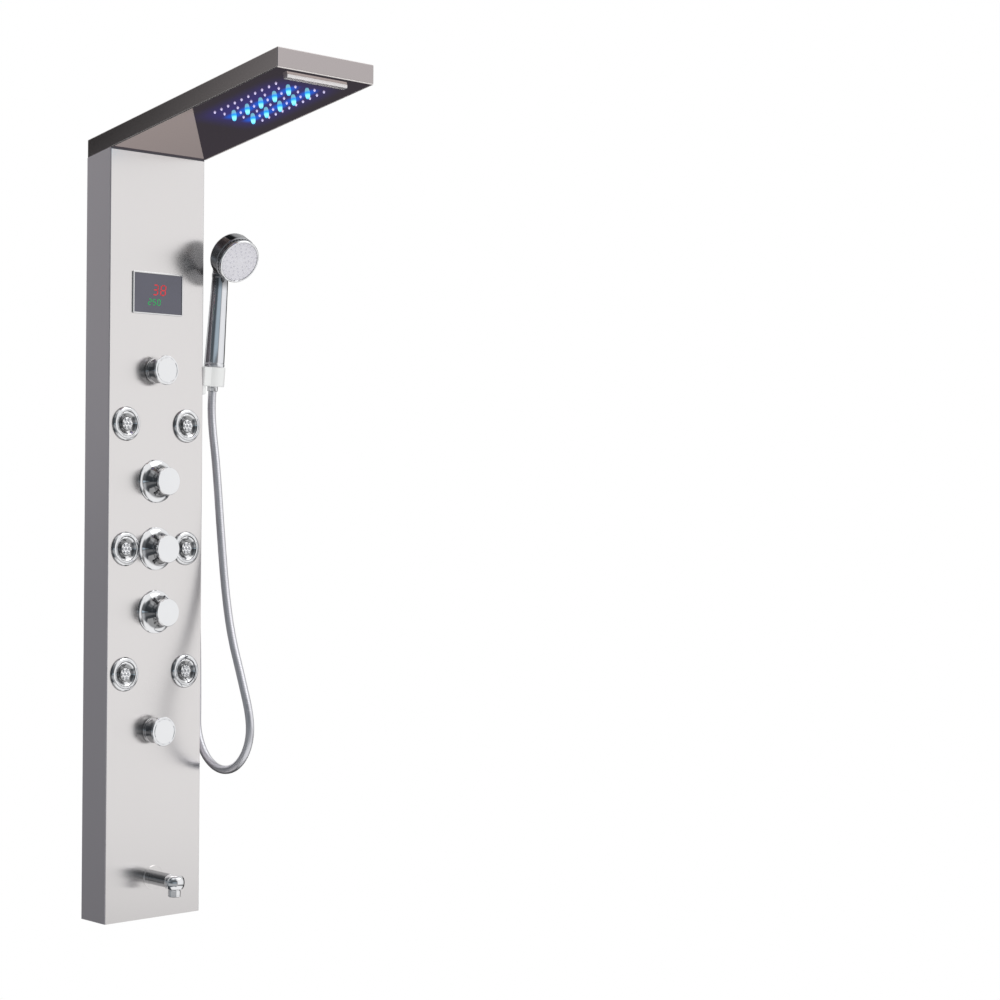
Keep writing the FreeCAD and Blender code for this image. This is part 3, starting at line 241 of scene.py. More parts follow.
@dataclass(frozen=True)
class Finish:
    """How a piece looks; each kind of finish wires its own surface.

    Args:
        name: Name of the material.
        slot: The record's material slot that it belongs to; not used.
        colour: Linear base colour.
        roughness: Mean roughness.
    """

    name: str
    slot: str
    colour: Colour
    roughness: float

    def wire(self, paint: Paint) -> dict[str, Any]:
        """Wire the finish.

        Args:
            paint: The material's tree.

        Returns:
            The Principled shader's inputs.
        """
        raise NotImplementedError

    def material(self) -> bpy.types.Material:
        """Make the material at its first use.

        Returns:
            The material.
        """
        made = bpy.data.materials.get(self.name)
        if made is None:
            made = bpy.data.materials.new(self.name)
            made.use_nodes = True
            paint = Paint(made.node_tree)
            paint.surface(self.wire(paint))
        return made


@dataclass(frozen=True)
class BrushedSteel(Finish):
    """Sheet steel with fine brush lines.

    Args:
        along: Stretch of the lines, with a small part along the brushing.
        side: Linear colour of the two sides, painted lighter or darker than the front as painted light and shade.
        dulling: Roughness that the sides have more than the front.
        spread: How much further reflections spread across the brushing than along it.
        corner: Where the front turns into a side, from the middle, in metres.
    """

    along: Triple = (1.0, 1.0, 0.012)
    side: Colour = (0.50, 0.50, 0.50)
    dulling: float = 0.0
    spread: float = 0.0
    corner: Pair = (0.0985, 0.0995)

    def wire(self, paint: Paint) -> dict[str, Any]:
        """Lines drawn out along the brushing, over a slow drift in gloss; the sides are duller than the front and
        painted in their own tone as painted light and shade.
        """
        lines = paint.noise(1500.0, 3.0, self.along)
        drift = paint.noise(4.0)
        across, _, _ = paint.split(paint.place())
        at_side = across.size().rise(*self.corner)
        # Painted light and shade: the sides take their own colour, apart from the front's.
        colour = paint.mix(at_side, self.colour, self.side)
        return {
            "Base Color": paint.mix(0.04 * lines, colour, (0.2, 0.2, 0.2)),
            "Metallic": 1.0,
            "Roughness": self.roughness - 0.03 + 0.03 * lines + 0.03 * drift + self.dulling * at_side,
            "Normal": paint.bump(lines, 0.005, 0.0002),
            "Anisotropic": self.spread,
        }


@dataclass(frozen=True)
class Chrome(Finish):
    """Polished plating with faint smudges."""

    def wire(self, paint: Paint) -> dict[str, Any]:
        """Smudges dull the polish a little; a slow ripple keeps reflections from being perfect."""
        smudges = paint.noise(30.0, 3.0)
        ripple = paint.noise(70.0, 1.0)
        return {
            "Base Color": paint.mix(smudges, shaded(self.colour, 0.95), self.colour),
            "Metallic": 1.0,
            "Roughness": self.roughness + 0.05 * smudges.rise(0.45, 0.75),
            "Normal": paint.bump(ripple, 0.02, 0.0005),
        }


@dataclass(frozen=True)
class ChromeWithPaintedShade(Chrome):
    """Polished plating with painted shade along a stretch of the piece: a darker colour that stands in for shade and
    dark reflections there.

    Args:
        axis: Axis that the painted shade changes along, 0 to 2.
        start: Where the painted shade sets in and is full, in metres.
        stop: Where it has ended and was still full, in metres.
        share: The painted shade's share of the colour.
    """

    axis: int = 1
    start: Pair = (0.0, 0.0)
    stop: Pair = (0.0, 0.0)
    share: float = 0.4

    def wire(self, paint: Paint) -> dict[str, Any]:
        """Polished plating, painted darker between the two places as painted shade."""
        inputs = super().wire(paint)
        place = paint.split(paint.place())[self.axis]
        # Painted shade: the colour turns darker between the two places, standing in for shade and dark reflections.
        painted_shade = place.rise(*self.start) * place.rise(*self.stop)
        inputs["Base Color"] = paint.mix(painted_shade, inputs["Base Color"], shaded(self.colour, self.share))
        return inputs


@dataclass(frozen=True)
class MirrorPlate(Finish):
    """The polished underside with painted light: a blue glow round the lamps and a faint glow elsewhere, given off by
    the plate itself.

    Args:
        painted_glow: Linear colour of the painted light close to a lamp.
        painted_haze: Linear colour of the painted light over the whole field.
        painted_dim_glow: Linear colour of the faint painted glow on the rest of the plate.
        lamp: Place of one lamp, across and along the plate from the wall, in metres.
        half: Half the distance from lamp to lamp, across and along.
        middle: Middle of all lamps, across and along.
    """

    painted_glow: Colour = (0.01, 0.10, 0.62)
    painted_haze: Colour = (0.035, 0.028, 0.160)
    painted_dim_glow: Colour = (0.030, 0.025, 0.034)
    lamp: Pair = (-0.010, 0.2711)
    half: Pair = (0.020, 0.0162)
    middle: Pair = (0.010, 0.336)

    def wire(self, paint: Paint) -> dict[str, Any]:
        """Painted rings of light round each lamp of the field, by wrapped coordinates, given off by the plate itself.
        """
        x, y, _ = paint.split(paint.place())
        along = y * (-1.0 / math.cos(math.radians(TILT)))
        across = (x - self.lamp[0]).wrapped(self.half[0])
        row = (along - self.lamp[1]).wrapped(self.half[1])
        away = (across * across + 0.3 * row * row) ** 0.5
        from_middle = (along - self.middle[1]).size()
        inside = (x - self.middle[0]).size().rise(0.048, 0.038) * from_middle.rise(0.088, 0.076)
        field = x.size().rise(0.085, 0.030) * from_middle.rise(0.125, 0.055)
        light = away.rise(0.016, 0.003) * inside
        smudges = paint.noise(25.0, 3.0)
        return {
            "Base Color": paint.mix(smudges, shaded(self.colour, 0.97), self.colour),
            "Metallic": 1.0,
            "Roughness": self.roughness + 0.04 * smudges.rise(0.5, 0.8),
            # Painted light: the plate itself glows where the lamps' light would fall on it.
            "Emission Color": paint.mix(light, paint.mix(field, self.painted_dim_glow, self.painted_haze), self.painted_glow),
            "Emission Strength": 1.0,
        }


@dataclass(frozen=True)
class Moulded(Finish):
    """Moulded plastic or soft rubber with a fine grain.

    Args:
        grain: Strength of the grain.
        coat: Weight of the clear coat.
        painted_glow: Linear colour of a painted glow that the piece gives off, standing in for lamp light falling on
            it.
    """

    grain: float = 0.05
    coat: float = 0.0
    painted_glow: Colour = (0.0, 0.0, 0.0)

    def wire(self, paint: Paint) -> dict[str, Any]:
        """Fine grain over slow changes of tone."""
        grain = paint.noise(1100.0, 2.0)
        tone = paint.noise(18.0, 3.0)
        return {
            "Base Color": paint.mix(tone, shaded(self.colour, 0.90), shaded(self.colour, 1.06)),
            "Roughness": self.roughness - 0.05 + 0.1 * tone,
            "Coat Weight": self.coat,
            # Painted light: a glow given off by the piece itself.
            "Emission Color": self.painted_glow,
            "Emission Strength": 1.0 if any(self.painted_glow) else 0.0,
            "Normal": paint.bump(grain, self.grain, 0.0002),
        }


@dataclass(frozen=True)
class CastMetal(Finish):
    """Cast or machined metal, uneven in tone.

    Args:
        stain: Colour that patches turn to.
        cells: Cells per metre of the surface.
    """

    stain: Colour = (0.40, 0.30, 0.16)
    cells: float = 420.0

    def wire(self, paint: Paint) -> dict[str, Any]:
        """Patches of stain and a pitted skin."""
        patches = paint.noise(26.0, 4.0).rise(0.42, 0.72)
        pits = paint.noise(self.cells, 3.0)
        return {
            "Base Color": paint.mix(patches, self.colour, self.stain),
            "Metallic": 1.0,
            "Roughness": self.roughness + 0.16 * patches - 0.05 + 0.08 * pits,
            "Normal": paint.bump(pits, 0.12, 0.0003),
        }


@dataclass(frozen=True)
class ZincPlate(Finish):
    """Zinc-plated steel with its spangle."""

    def wire(self, paint: Paint) -> dict[str, Any]:
        """Crystal patches that differ in tone and gloss."""
        inputs = {"Vector": paint.place(), "Scale": 130.0}
        cells = paint.node("ShaderNodeTexVoronoi", None, inputs, "Color")
        tone, gloss, _ = paint.split(cells)
        return {
            "Base Color": paint.mix(tone, shaded(self.colour, 0.82), shaded(self.colour, 1.12)),
            "Metallic": 1.0,
            "Roughness": self.roughness - 0.08 + 0.16 * gloss,
        }


@dataclass(frozen=True)
class Lamp(Finish):
    """A lit lens or digit.

    Args:
        edge: Colour at its dimmer places.
        strength: Emission strength.
    """

    edge: Colour = (0.0, 0.25, 0.9)
    strength: float = 1.0

    def light(self, paint: Paint) -> Sock:
        """Light that is a little uneven."""
        return paint.mix(paint.noise(160.0, 1.0).rise(0.25, 0.50), self.edge, self.colour)

    def wire(self, paint: Paint) -> dict[str, Any]:
        """A dim surface that shines by itself."""
        return {
            "Base Color": shaded(self.colour, 0.15),
            "Roughness": self.roughness,
            "Specular IOR Level": 0.1,
            "Emission Color": self.light(paint),
            "Emission Strength": self.strength,
        }


@dataclass(frozen=True)
class LampDome(Lamp):
    """A lamp's lens under the head, brightest at half its depth."""

    def light(self, paint: Paint) -> Sock:
        """Light that is paler in the middle of the dome and bluer at its root and tip."""
        _, y, z = paint.split(paint.place())
        depth = HALF_HEIGHT * MM - math.tan(math.radians(TILT)) * y - z
        middle = depth.rise(0.0, 0.0045) * depth.rise(0.0105, 0.006)
        return paint.mix(middle, self.edge, self.colour)


@dataclass(frozen=True)
class DarkWindow(Finish):
    """A dark glossy window over a lit panel."""

    def wire(self, paint: Paint) -> dict[str, Any]:
        """A faint wash of light and fingerprints in the gloss."""
        wash = paint.noise(14.0, 2.0)
        prints = paint.noise(45.0, 4.0).rise(0.5, 0.8)
        return {
            "Base Color": paint.mix(wash, shaded(self.colour, 0.8), shaded(self.colour, 1.25)),
            "Roughness": self.roughness + 0.08 * prints,
            "Coat Weight": 0.6,
            "Coat Roughness": 0.03,
        }


@dataclass(frozen=True)
class WovenMesh(Finish):
    """The aerator's insert: a fine grid whose openings are painted dark, as painted shade inside them.

    Args:
        half: Half the distance from bar to bar, in metres.
    """

    half: float = 0.0007

    def wire(self, paint: Paint) -> dict[str, Any]:
        """Openings between the bars of two crossed sets of lines, painted dark as painted shade."""
        x, y, _ = paint.split(paint.place())
        open_x, open_y = ((axis.wrapped(self.half).size() / self.half).rise(0.75, 0.5) for axis in (x, y))
        hole = open_x * open_y
        return {
            # Painted shade: the openings are painted dark.
            "Base Color": paint.mix(hole, self.colour, (0.02, 0.02, 0.025)),
            "Metallic": 1.0 - 0.8 * hole,
            "Roughness": self.roughness + 0.4 * hole,
            "Normal": paint.bump(1.0 - hole, 0.4, 0.0004),
        }


PLATING = (0.83, 0.835, 0.85)
POLISH = 0.04
ALONG_HEAD = (1.0, 0.012, 1.0)


def plated(name: str, start: Pair, stop: Pair, share: float) -> ChromeWithPaintedShade:
    """Bright plating with painted shade between two depths."""
    return ChromeWithPaintedShade(name, "polished_chrome", PLATING, POLISH, 1, start, stop, share)


PANEL = BrushedSteel(
    "panel_steel", "brushed_panel", (0.755, 0.733, 0.73), 0.22, side=(0.71, 0.665, 0.695), dulling=0.22, spread=0.7
)
# The head is the column's brushed steel painted darker, as painted shade.
HEAD = BrushedSteel("head_steel", "brushed_panel", (0.45, 0.41, 0.41), 0.14, ALONG_HEAD, (0.50, 0.455, 0.455))
# Painted highlight: a pale copy of the head's steel laid along its lower folds.
EDGE_HIGHLIGHT = BrushedSteel("head_edge_highlight", "brushed_panel", (0.80, 0.76, 0.74), 0.30, ALONG_HEAD, (0.80, 0.76, 0.74))
MIRROR = MirrorPlate("underside", "mirror_plate", (0.41, 0.33, 0.29), 0.03)
CHROME = Chrome("chrome", "polished_chrome", PLATING, POLISH)
# Plated finishes with painted shade: the chrome is painted darker over the hand shower's top, the knobs' skirts and
# waists, the spout's tube and the jets' ring feet and dishes, standing in for shade and dark reflections.
HANDSET_CHROME = ChromeWithPaintedShade(
    "handset_chrome", "polished_chrome", (0.80, 0.81, 0.84), 0.07, 2, (0.418, 0.436), (0.62, 0.60), 0.36
)
SKIRT_CHROME = plated("skirt_chrome", (-0.0690, -0.0715), (-0.0955, -0.0935), 0.34)
KNOB_CHROME = plated("knob_chrome", (-0.0660, -0.0680), (-0.0872, -0.0855), 0.34)
TUBE_CHROME = plated("tube_chrome", (-0.0650, -0.0660), (-0.1120, -0.1080), 0.40)
JET_CHROME = plated("jet_chrome", (-0.0682, -0.0662), (-0.0400, -0.0410), 0.40)
HOSE_STEEL = Chrome("hose_steel", "polished_chrome", (0.78, 0.78, 0.82), 0.36)
LIP = Chrome("satin_lip", "polished_chrome", (0.95, 0.93, 0.94), 0.36)
SATIN = Chrome("satin_frame", "silver_bezel", (0.76, 0.76, 0.77), 0.22)
ZINC = ZincPlate("zinc_plate", "galvanised_steel", (0.55, 0.56, 0.57), 0.38)
BRASS = CastMetal("valve_brass", "cast_brass", (0.72, 0.56, 0.29), 0.30)
WHITE_PLASTIC = Moulded("white_plastic", "moulded_plastic", (0.78, 0.78, 0.76), 0.42)
HOLDER_WHITE = Moulded("holder_white", "moulded_plastic", (0.96, 0.97, 0.96), 0.35, 0.02, 0.2)
SPRAY_FACE = Moulded("spray_face", "spray_plate", (0.84, 0.83, 0.88), 0.30, 0.02, 0.3)
SPRAY_DOT = Moulded("spray_dot", "soft_nozzle", (0.80, 0.79, 0.85), 0.40, 0.02)
# The nozzles carry a painted glow that stands in for the lamps' blue light falling on them.
NOZZLE_RUBBER = Moulded("nozzle_rubber", "soft_nozzle", (0.74, 0.72, 0.88), 0.5, 0.08, 0.0, (0.30, 0.26, 0.44))
DARK_RUBBER = Moulded("dark_rubber", "soft_nozzle", (0.10, 0.10, 0.12), 0.5, 0.08)
LENS = LampDome("lit_lens", "lamp_lens", (0.30, 0.95, 1.0), 0.2, (0.01, 0.42, 0.95), 1.1)
WINDOW = DarkWindow("display_window", "display_glass", (0.085, 0.085, 0.12), 0.12)
RED_DIGIT = Lamp("red_digit", "display_glass", (0.72, 0.05, 0.06), 0.4, (0.45, 0.04, 0.05), 0.9)
GREEN_DIGIT = Lamp("green_digit", "display_glass", (0.02, 0.45, 0.11), 0.4, (0.02, 0.28, 0.08), 0.9)
MESH = WovenMesh("aerator_mesh", "spout_mesh", (0.70, 0.71, 0.72), 0.22)


class Form:
    """A mesh being made with Blender's mesh operators, in millimetres."""

    MERGE = 0.002
    CREASE = 32.0
    def __init__(self) -> None:
        self.bm = bmesh.new()

    @classmethod
    def turned(cls, outline: Outline, rounding: float = 0.0, steps: int = 56, sweep: float = 360.0) -> "Form":
        """Spin an outline about Z.

        Args:
            outline: (radius, height) points; a closed outline repeats its first point.
            rounding: Size of the soft corner put on each inner point.
            steps: Steps of the spin.
            sweep: Degrees of the spin.

        Returns:
            The turned form.
        """
        form = cls()
        loop = outline[0] == outline[-1]
        points = outline[:-1] if loop else outline
        verts = [form.bm.verts.new((radius, 0.0, height)) for radius, height in points]
        for pair in zip(verts, verts[1:] + verts[:1] if loop else verts[1:]):
            form.bm.edges.new(pair)
        if rounding:
            corners = verts if loop else verts[1:-1]
            form.bevel(corners, rounding, 3, "VERTICES")
        full = sweep >= 360.0
        if not full:
            bmesh.ops.contextual_create(form.bm, geom=form.bm.edges)
        geometry = [*form.bm.verts, *form.bm.edges, *form.bm.faces]
        angle = math.radians(sweep)
        bmesh.ops.spin(
            form.bm, geom=geometry, cent=(0, 0, 0), axis=(0, 0, 1), angle=angle, steps=steps, use_merge=full
        )
        return form.cleaned()

    @classmethod
    def block(cls, x: Pair, y: Pair, z: Pair, soft: float) -> "Form":
        """A block between two ends on each axis, with softened edges."""
        form = cls()
        bmesh.ops.create_cube(form.bm, size=1.0)
        bmesh.ops.scale(form.bm, vec=[pair[1] - pair[0] for pair in (x, y, z)], verts=form.bm.verts)
        bmesh.ops.translate(form.bm, vec=[sum(pair) / 2 for pair in (x, y, z)], verts=form.bm.verts)
        return form.bevel(list(form.bm.edges), soft, 3) if soft else form

    @classmethod
    def swept(cls, path: Sequence[Vector], radii: Sequence[float], sides: int) -> "Form":
        """A round tube along a path.

        Args:
            path: Ring centres.
            radii: One radius per ring.
            sides: Corners of a ring.

        Returns:
            The tube, closed at both ends.
        """
        form = cls()
        ring = bmesh.ops.create_circle(form.bm, segments=sides, radius=1.0)["verts"]
        geometry = [*ring, *form.bm.edges]
        bmesh.ops.spin(form.bm, geom=geometry, axis=(0, 0, 1), angle=0.0, dvec=(0, 0, 1), steps=len(path) - 1)
        frames = carried_frames(path)
        for vert in form.bm.verts:
            step = round(vert.co.z)
            vert.co = frames[step] @ Vector((vert.co.x * radii[step], vert.co.y * radii[step], 0.0))
        bmesh.ops.holes_fill(form.bm, edges=[edge for edge in form.bm.edges if edge.is_boundary])
        return form.cleaned()

    def bevel(self, geometry: Sequence[Any], offset: float, segments: int, affect: str = "EDGES") -> "Form":
        """Round edges or corners."""
        bmesh.ops.bevel(
            self.bm, geom=geometry, offset=offset, offset_type="OFFSET", segments=segments, profile=0.5,
            affect=affect, clamp_overlap=True, material=-1,
        )
        return self

    def cleaned(self) -> "Form":
        """Merge doubled points and turn the normals outwards."""
        bmesh.ops.remove_doubles(self.bm, verts=self.bm.verts, dist=self.MERGE)
        bmesh.ops.recalc_face_normals(self.bm, faces=self.bm.faces)
        return self

    def moved(self, matrix: Matrix) -> "Form":
        """Put the form in another frame."""
        bmesh.ops.transform(self.bm, matrix=matrix, verts=self.bm.verts)
        return self

    def joined(self, *others: "Form") -> "Form":
        """Take other forms into this one.

        Args:
            others: The forms, which stay as they are.

        Returns:
            This form.
        """
        for other in others:
            mesh = other.mesh("joined")
            self.bm.from_mesh(mesh)
            bpy.data.meshes.remove(mesh)
        return self

    def repeated(self, places: Iterable[Matrix]) -> "Form":
        """Make copies of the form.

        Args:
            places: Where each copy goes.

        Returns:
            The copies as one form.
        """
        whole = Form()
        mesh = self.mesh("repeated")
        for place in places:
            before = len(whole.bm.verts)
            whole.bm.from_mesh(mesh)
            whole.bm.verts.ensure_lookup_table()
            bmesh.ops.transform(whole.bm, matrix=place, verts=whole.bm.verts[before:])
        bpy.data.meshes.remove(mesh)
        return whole

    def faces_towards(self, axis: Vector, share: float = 0.99) -> list[bmesh.types.BMFace]:
        """Faces whose normal lies close to an axis."""
        self.bm.normal_update()
        return [face for face in self.bm.faces if face.normal.dot(axis) > share]

    def edges_inward(self, least: float) -> list[bmesh.types.BMEdge]:
        """Edges that run more than a length from front to back."""
        return [edge for edge in self.bm.edges if abs((edge.verts[0].co - edge.verts[1].co).y) > least]

    def mesh(self, name: str) -> bpy.types.Mesh:
        """The form as a mesh, still in millimetres."""
        mesh = bpy.data.meshes.new(name)
        self.bm.to_mesh(mesh)
        return mesh

    def settled(
        self, name: str, finish: Finish, body: str | None = "column", stands_for: Sequence[str] = ()
    ) -> bpy.types.Object:
        """Make the form an object of the scene.

        Args:
            name: The piece's name.
            finish: Its finish.
            body: The body that it rides on; none for a piece that bends between two.
            stands_for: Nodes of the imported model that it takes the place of.

        Returns:
            The object.
        """
        mesh = self.mesh(name)
        self.bm.free()
        mesh.transform(Matrix.Scale(MM, 4))
        mesh.shade_smooth()
        mesh.set_sharp_from_angle(angle=math.radians(self.CREASE))
        mesh.materials.append(finish.material())
        piece = bpy.data.objects.new(name, mesh)
        bpy.context.scene.collection.objects.link(piece)
        if body:
            piece.modifiers.new("weighted_normals", "WEIGHTED_NORMAL").keep_sharp = True
            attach(piece, body)
        if stands_for:
            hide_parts(*stands_for)
        LOG.info("%s: %d faces, rides on %s", name, len(mesh.polygons), body or "two bodies")
        return piece


def carried_frames(path: Sequence[Vector]) -> list[Matrix]:
    """Carry a frame along a path without twisting it.

    Args:
        path: Points of the path.

    Returns:
        A frame for each point, whose Z follows the path.
    """
    frames = []
    heading = Vector((0.0, 0.0, 1.0))
    turn = Matrix.Identity(3)
    for step, point in enumerate(path):
        ahead = path[min(step + 1, len(path) - 1)] - path[max(step - 1, 0)]
        turn = heading.rotation_difference(ahead).to_matrix() @ turn
        heading = ahead
        frames.append(Matrix.Translation(point) @ turn.to_4x4())
    return frames


def turn_about(axis: str, degrees: float) -> Matrix:
    """A rotation about a main axis."""
    return Matrix.Rotation(math.radians(degrees), 4, axis)


def shift(x: float, y: float, z: float) -> Matrix:
    """A move."""
    return Matrix.Translation((x, y, z))


def on_front(x: float, z: float) -> Matrix:
    """The frame of a piece whose +Z stands out of the column's front."""
    return shift(x, FRONT, z) @ turn_about("X", 90.0)


def on_circle(count: int, radius: float, start: float = 0.0) -> list[Matrix]:
    """Places round a circle about Z, turned to face outwards."""
    return [turn_about("Z", start + 360.0 * step / count) @ shift(radius, 0.0, 0.0) for step in range(count)]


def beside(edge: float, *points: Pair) -> list[Pair]:
    """Outline points whose radius is counted from an edge."""
    return [(edge + out, height) for out, height in points]


def dress(finish: Finish, *nodes: str) -> None:
    """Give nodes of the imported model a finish.

    Args:
        finish: The finish.
        nodes: Names of the nodes.
    """
    for node in nodes:
        for slot in frame["nodes"][node].material_slots:
            slot.material = finish.material()
        LOG.info("%s: kept, dressed in %s", node, finish.name)


@dataclass(frozen=True)
class Zone:
    """A patch of the studio's light with soft edges.

    Args:
        colour: Linear colour.
        height: Steps over a direction's height, each from where there is none of it to where it is full.
        turn: Steps over its share of a full turn, with 0.5 straight behind the column.
        depth: Steps over how far it points to the back.
        share: How much of it shows at most.
    """

    colour: Colour
    height: tuple[Pair, ...]
    turn: tuple[Pair, ...] = ()
    depth: tuple[Pair, ...] = ()
    share: float = 1.0

    def over(self, paint: Paint, light: Sock, height: Sock, turn: Sock, depth: Sock) -> Sock:
        """Lay the patch over other light.

        Args:
            paint: The world's tree.
            light: The other light.
            height: The direction's height.
            turn: Its share of a full turn.
            depth: How far it points to the back.

        Returns:
            The light's colour.
        """
        shown: Number = self.share
        for value, steps in ((height, self.height), (turn, self.turn), (depth, self.depth)):
            for step in steps:
                shown = shown * value.rise(*step)
        return paint.mix(shown, light, self.colour)


@dataclass
class Studio:
    """Camera, surroundings, floor and lamps.

    Args:
        target: The point that the camera is set up on, in metres.
        distance: From the target, in metres.
        yaw: Camera's place round the object, in degrees from the front towards the left.
        pitch: Camera's height above the target, in degrees.
        roll: Camera's roll in degrees.
        lens: Focal length on a 36 mm sensor.
        offset: Lens shift across and up.
        plain: Light from all round on what isn't metal or glass.
        floor: Floor's middle in metres.
        floor_half: Half the floor's width and depth in metres.
        floor_white: Share of plain white that the floor has in views and reflections.
    """

    target: Triple = (0.07652, -0.060, 0.07788)
    distance: float = 3.5294
    yaw: float = 39.555
    pitch: float = -0.374
    roll: float = 0.444
    lens: float = 75.25
    offset: Pair = (0.31, -0.008)
    plain: Colour = (0.80, 0.80, 0.80)
    floor: Triple = (-0.2, -0.8, -1.6)
    floor_half: Pair = (1.1, 0.7)
    floor_white: float = 0.9

    # Degrees from straight behind the column, light, and how blue it is: level with it, a little higher, and well
    # above or below. The right is alike in the first two.
    RIGHT = (
        (40, 0.03, 0.0), (70, 0.04, 0.0), (86, 0.08, 0.0), (100, 0.90, 0.0), (140, 1.0, 0.0), (176, 0.95, 0.0),
        (180, 0.75, 0.0),
    )
    LEVEL = (
        (-180, 0.75, 0.0), (-174, 0.16, 0.0), (-166, 0.11, 0.3), (-126, 0.10, 0.6), (-106, 0.10, 0.8),
        (-88, 0.13, 0.8), (-74, 0.24, 0.6), (-58, 0.33, 0.4), (-40, 0.28, 0.2), (-25, 0.20, 0.2), (0, 0.06, 0.0),
        *RIGHT,
    )
    BAND = (
        (-180, 0.75, 0.0), (-174, 0.18, 0.0), (-166, 0.13, 0.3), (-126, 0.12, 0.6), (-106, 0.12, 0.8),
        (-88, 0.24, 0.6), (-60, 0.46, 0.2), (-43, 0.35, 0.0), (-38, 0.03, 0.0), (-30, 0.015, 0.0), (0, 0.03, 0.0),
        *RIGHT,
    )
    RAISED = (
        (-180, 0.97, 0.0), (-174, 0.92, 0.0), (-164, 0.22, 0.3), (-124, 0.18, 0.5), (-104, 0.18, 0.6),
        (-84, 0.12, 0.6), (-57, 0.06, 0.5), (0, 0.02, 0.5), (70, 0.03, 0.0), (86, 0.08, 0.0), (100, 0.90, 0.0),
        (140, 1.0, 0.0), (180, 0.97, 0.0),
    )
    # Where the light changes from level to band, and from both to raised.
    BAND_STEP = (0.10, 0.15)
    RAISED_STEP = (0.30, 0.50)
    # A bluish streak at the left front and a grey patch below it.
    LEVEL_ZONES = (
        Zone((0.42, 0.50, 0.56), ((-0.075, -0.050), (0.040, 0.015)), ((0.010, 0.030), (0.190, 0.120))),
        Zone((0.44, 0.45, 0.46), ((-0.05, -0.16),), ((0.010, 0.030), (0.32, 0.28))),
    )
    # A pale patch high up behind, a dark one low down behind and on the right, and white over and under the front.
    ZONES = (
        Zone((0.72, 0.72, 0.72), ((0.26, 0.38), (0.88, 0.80)), ((0.29, 0.34), (0.80, 0.76))),
        Zone((0.04, 0.04, 0.04), ((-0.17, -0.28), (-0.46, -0.34)), ((0.30, 0.36),), share=0.80),
        Zone((0.90, 0.89, 0.88), ((-0.66, -0.82),), depth=((0.15, -0.15),)),
        Zone((0.96, 0.96, 0.97), ((0.74, 0.90),), depth=((0.15, -0.15),)),
    )
    # Name, place, aim, size and power of the lamps.
    LAMPS = (
        ("lamp_front", (1.6, -1.8, 2.6), (0.1, -0.1, 0.2), 2.0, 18.0),
        ("lamp_left", (-2.0, -1.1, 2.5), (0.0, -0.1, 0.0), 1.8, 3.0),
        ("lamp_back", (-0.3, 2.6, 1.0), (0.0, 0.0, 0.0), 2.0, 8.0),
    )

    def camera(self) -> None:
        """The camera that the photograph was taken with."""
        data = bpy.data.cameras.new("camera")
        data.lens = self.lens
        data.shift_x, data.shift_y = self.offset
        camera = bpy.data.objects.new("camera", data)
        turn = turn_about("Z", -self.yaw) @ turn_about("X", 90.0 - self.pitch) @ turn_about("Z", self.roll)
        camera.matrix_world = shift(*self.target) @ turn @ shift(0.0, 0.0, self.distance)
        bpy.context.scene.collection.objects.link(camera)
        bpy.context.scene.camera = camera

    def round_about(self, paint: Paint, around: Sock, stops: Sequence[Triple]) -> Sock:
        """Light of the studio by direction.

        Args:
            paint: The world's tree.
            around: Direction as a share of a full turn, with 0.5 straight behind the column.
            stops: Degrees from straight behind, light, and how blue it is.

        Returns:
            The light's colour.
        """
        ramp = [
            (degrees / 360.0 + 0.5, (light * (1.0 - 0.30 * blue), light * (1.0 - 0.14 * blue), light))
            for degrees, light, blue in stops
        ]
        return paint.node("ShaderNodeValToRGB", {"stops": ramp}, {0: around})

    def world(self) -> None:
        """White to the eye; to the metal, a studio whose light changes round the horizon."""
        world = bpy.data.worlds.new("studio")
        world.use_nodes = True
        bpy.context.scene.world = world
        paint = Paint(world.node_tree)
        x, y, z = paint.split(paint.node("ShaderNodeTexCoord", output="Generated"))
        around = x.turn_from(y) / math.tau + 0.5
        level, band, raised = (self.round_about(paint, around, stops) for stops in (self.LEVEL, self.BAND, self.RAISED))
        for zone in self.LEVEL_ZONES:
            level = zone.over(paint, level, z, around, y)
        walls = paint.mix(z.rise(*self.BAND_STEP), level, band)
        light = paint.mix(z.size().rise(*self.RAISED_STEP), walls, raised)
        for zone in self.ZONES:
            light = zone.over(paint, light, z, around, y)
        camera, shiny = paint.rays()
        seen = paint.mix(camera, paint.mix(shiny, self.plain, light), WHITE)
        background = paint.node("ShaderNodeBackground", None, {"Color": seen, "Strength": 1.0})
        paint.node("ShaderNodeOutputWorld", None, {"Surface": background})

    def stage(self) -> None:
        """A pale floor that keeps the shadow and stays white in views and reflections."""
        form = Form()
        bmesh.ops.create_grid(form.bm, x_segments=2, y_segments=2, size=1.0)
        form.moved(shift(*self.floor) @ Matrix.Diagonal((*self.floor_half, 1.0, 1.0)))
        mesh = form.mesh("floor")
        form.bm.free()
        material = bpy.data.materials.new("floor")
        material.use_nodes = True
        paint = Paint(material.node_tree)
        tone = paint.mix(paint.noise(3.0), (0.86, 0.86, 0.86), (0.90, 0.90, 0.90))
        matte = paint.node("ShaderNodeBsdfDiffuse", None, {"Color": tone})
        light = paint.node("ShaderNodeEmission", None, {"Color": WHITE, "Strength": 1.0})
        camera, shiny = paint.rays()
        share = self.floor_white * camera.larger(shiny)
        mixed = paint.node("ShaderNodeMixShader", None, {0: share, 1: matte, 2: light})
        paint.node("ShaderNodeOutputMaterial", None, {"Surface": mixed})
        mesh.materials.append(material)
        floor = bpy.data.objects.new("floor", mesh)
        bpy.context.scene.collection.objects.link(floor)

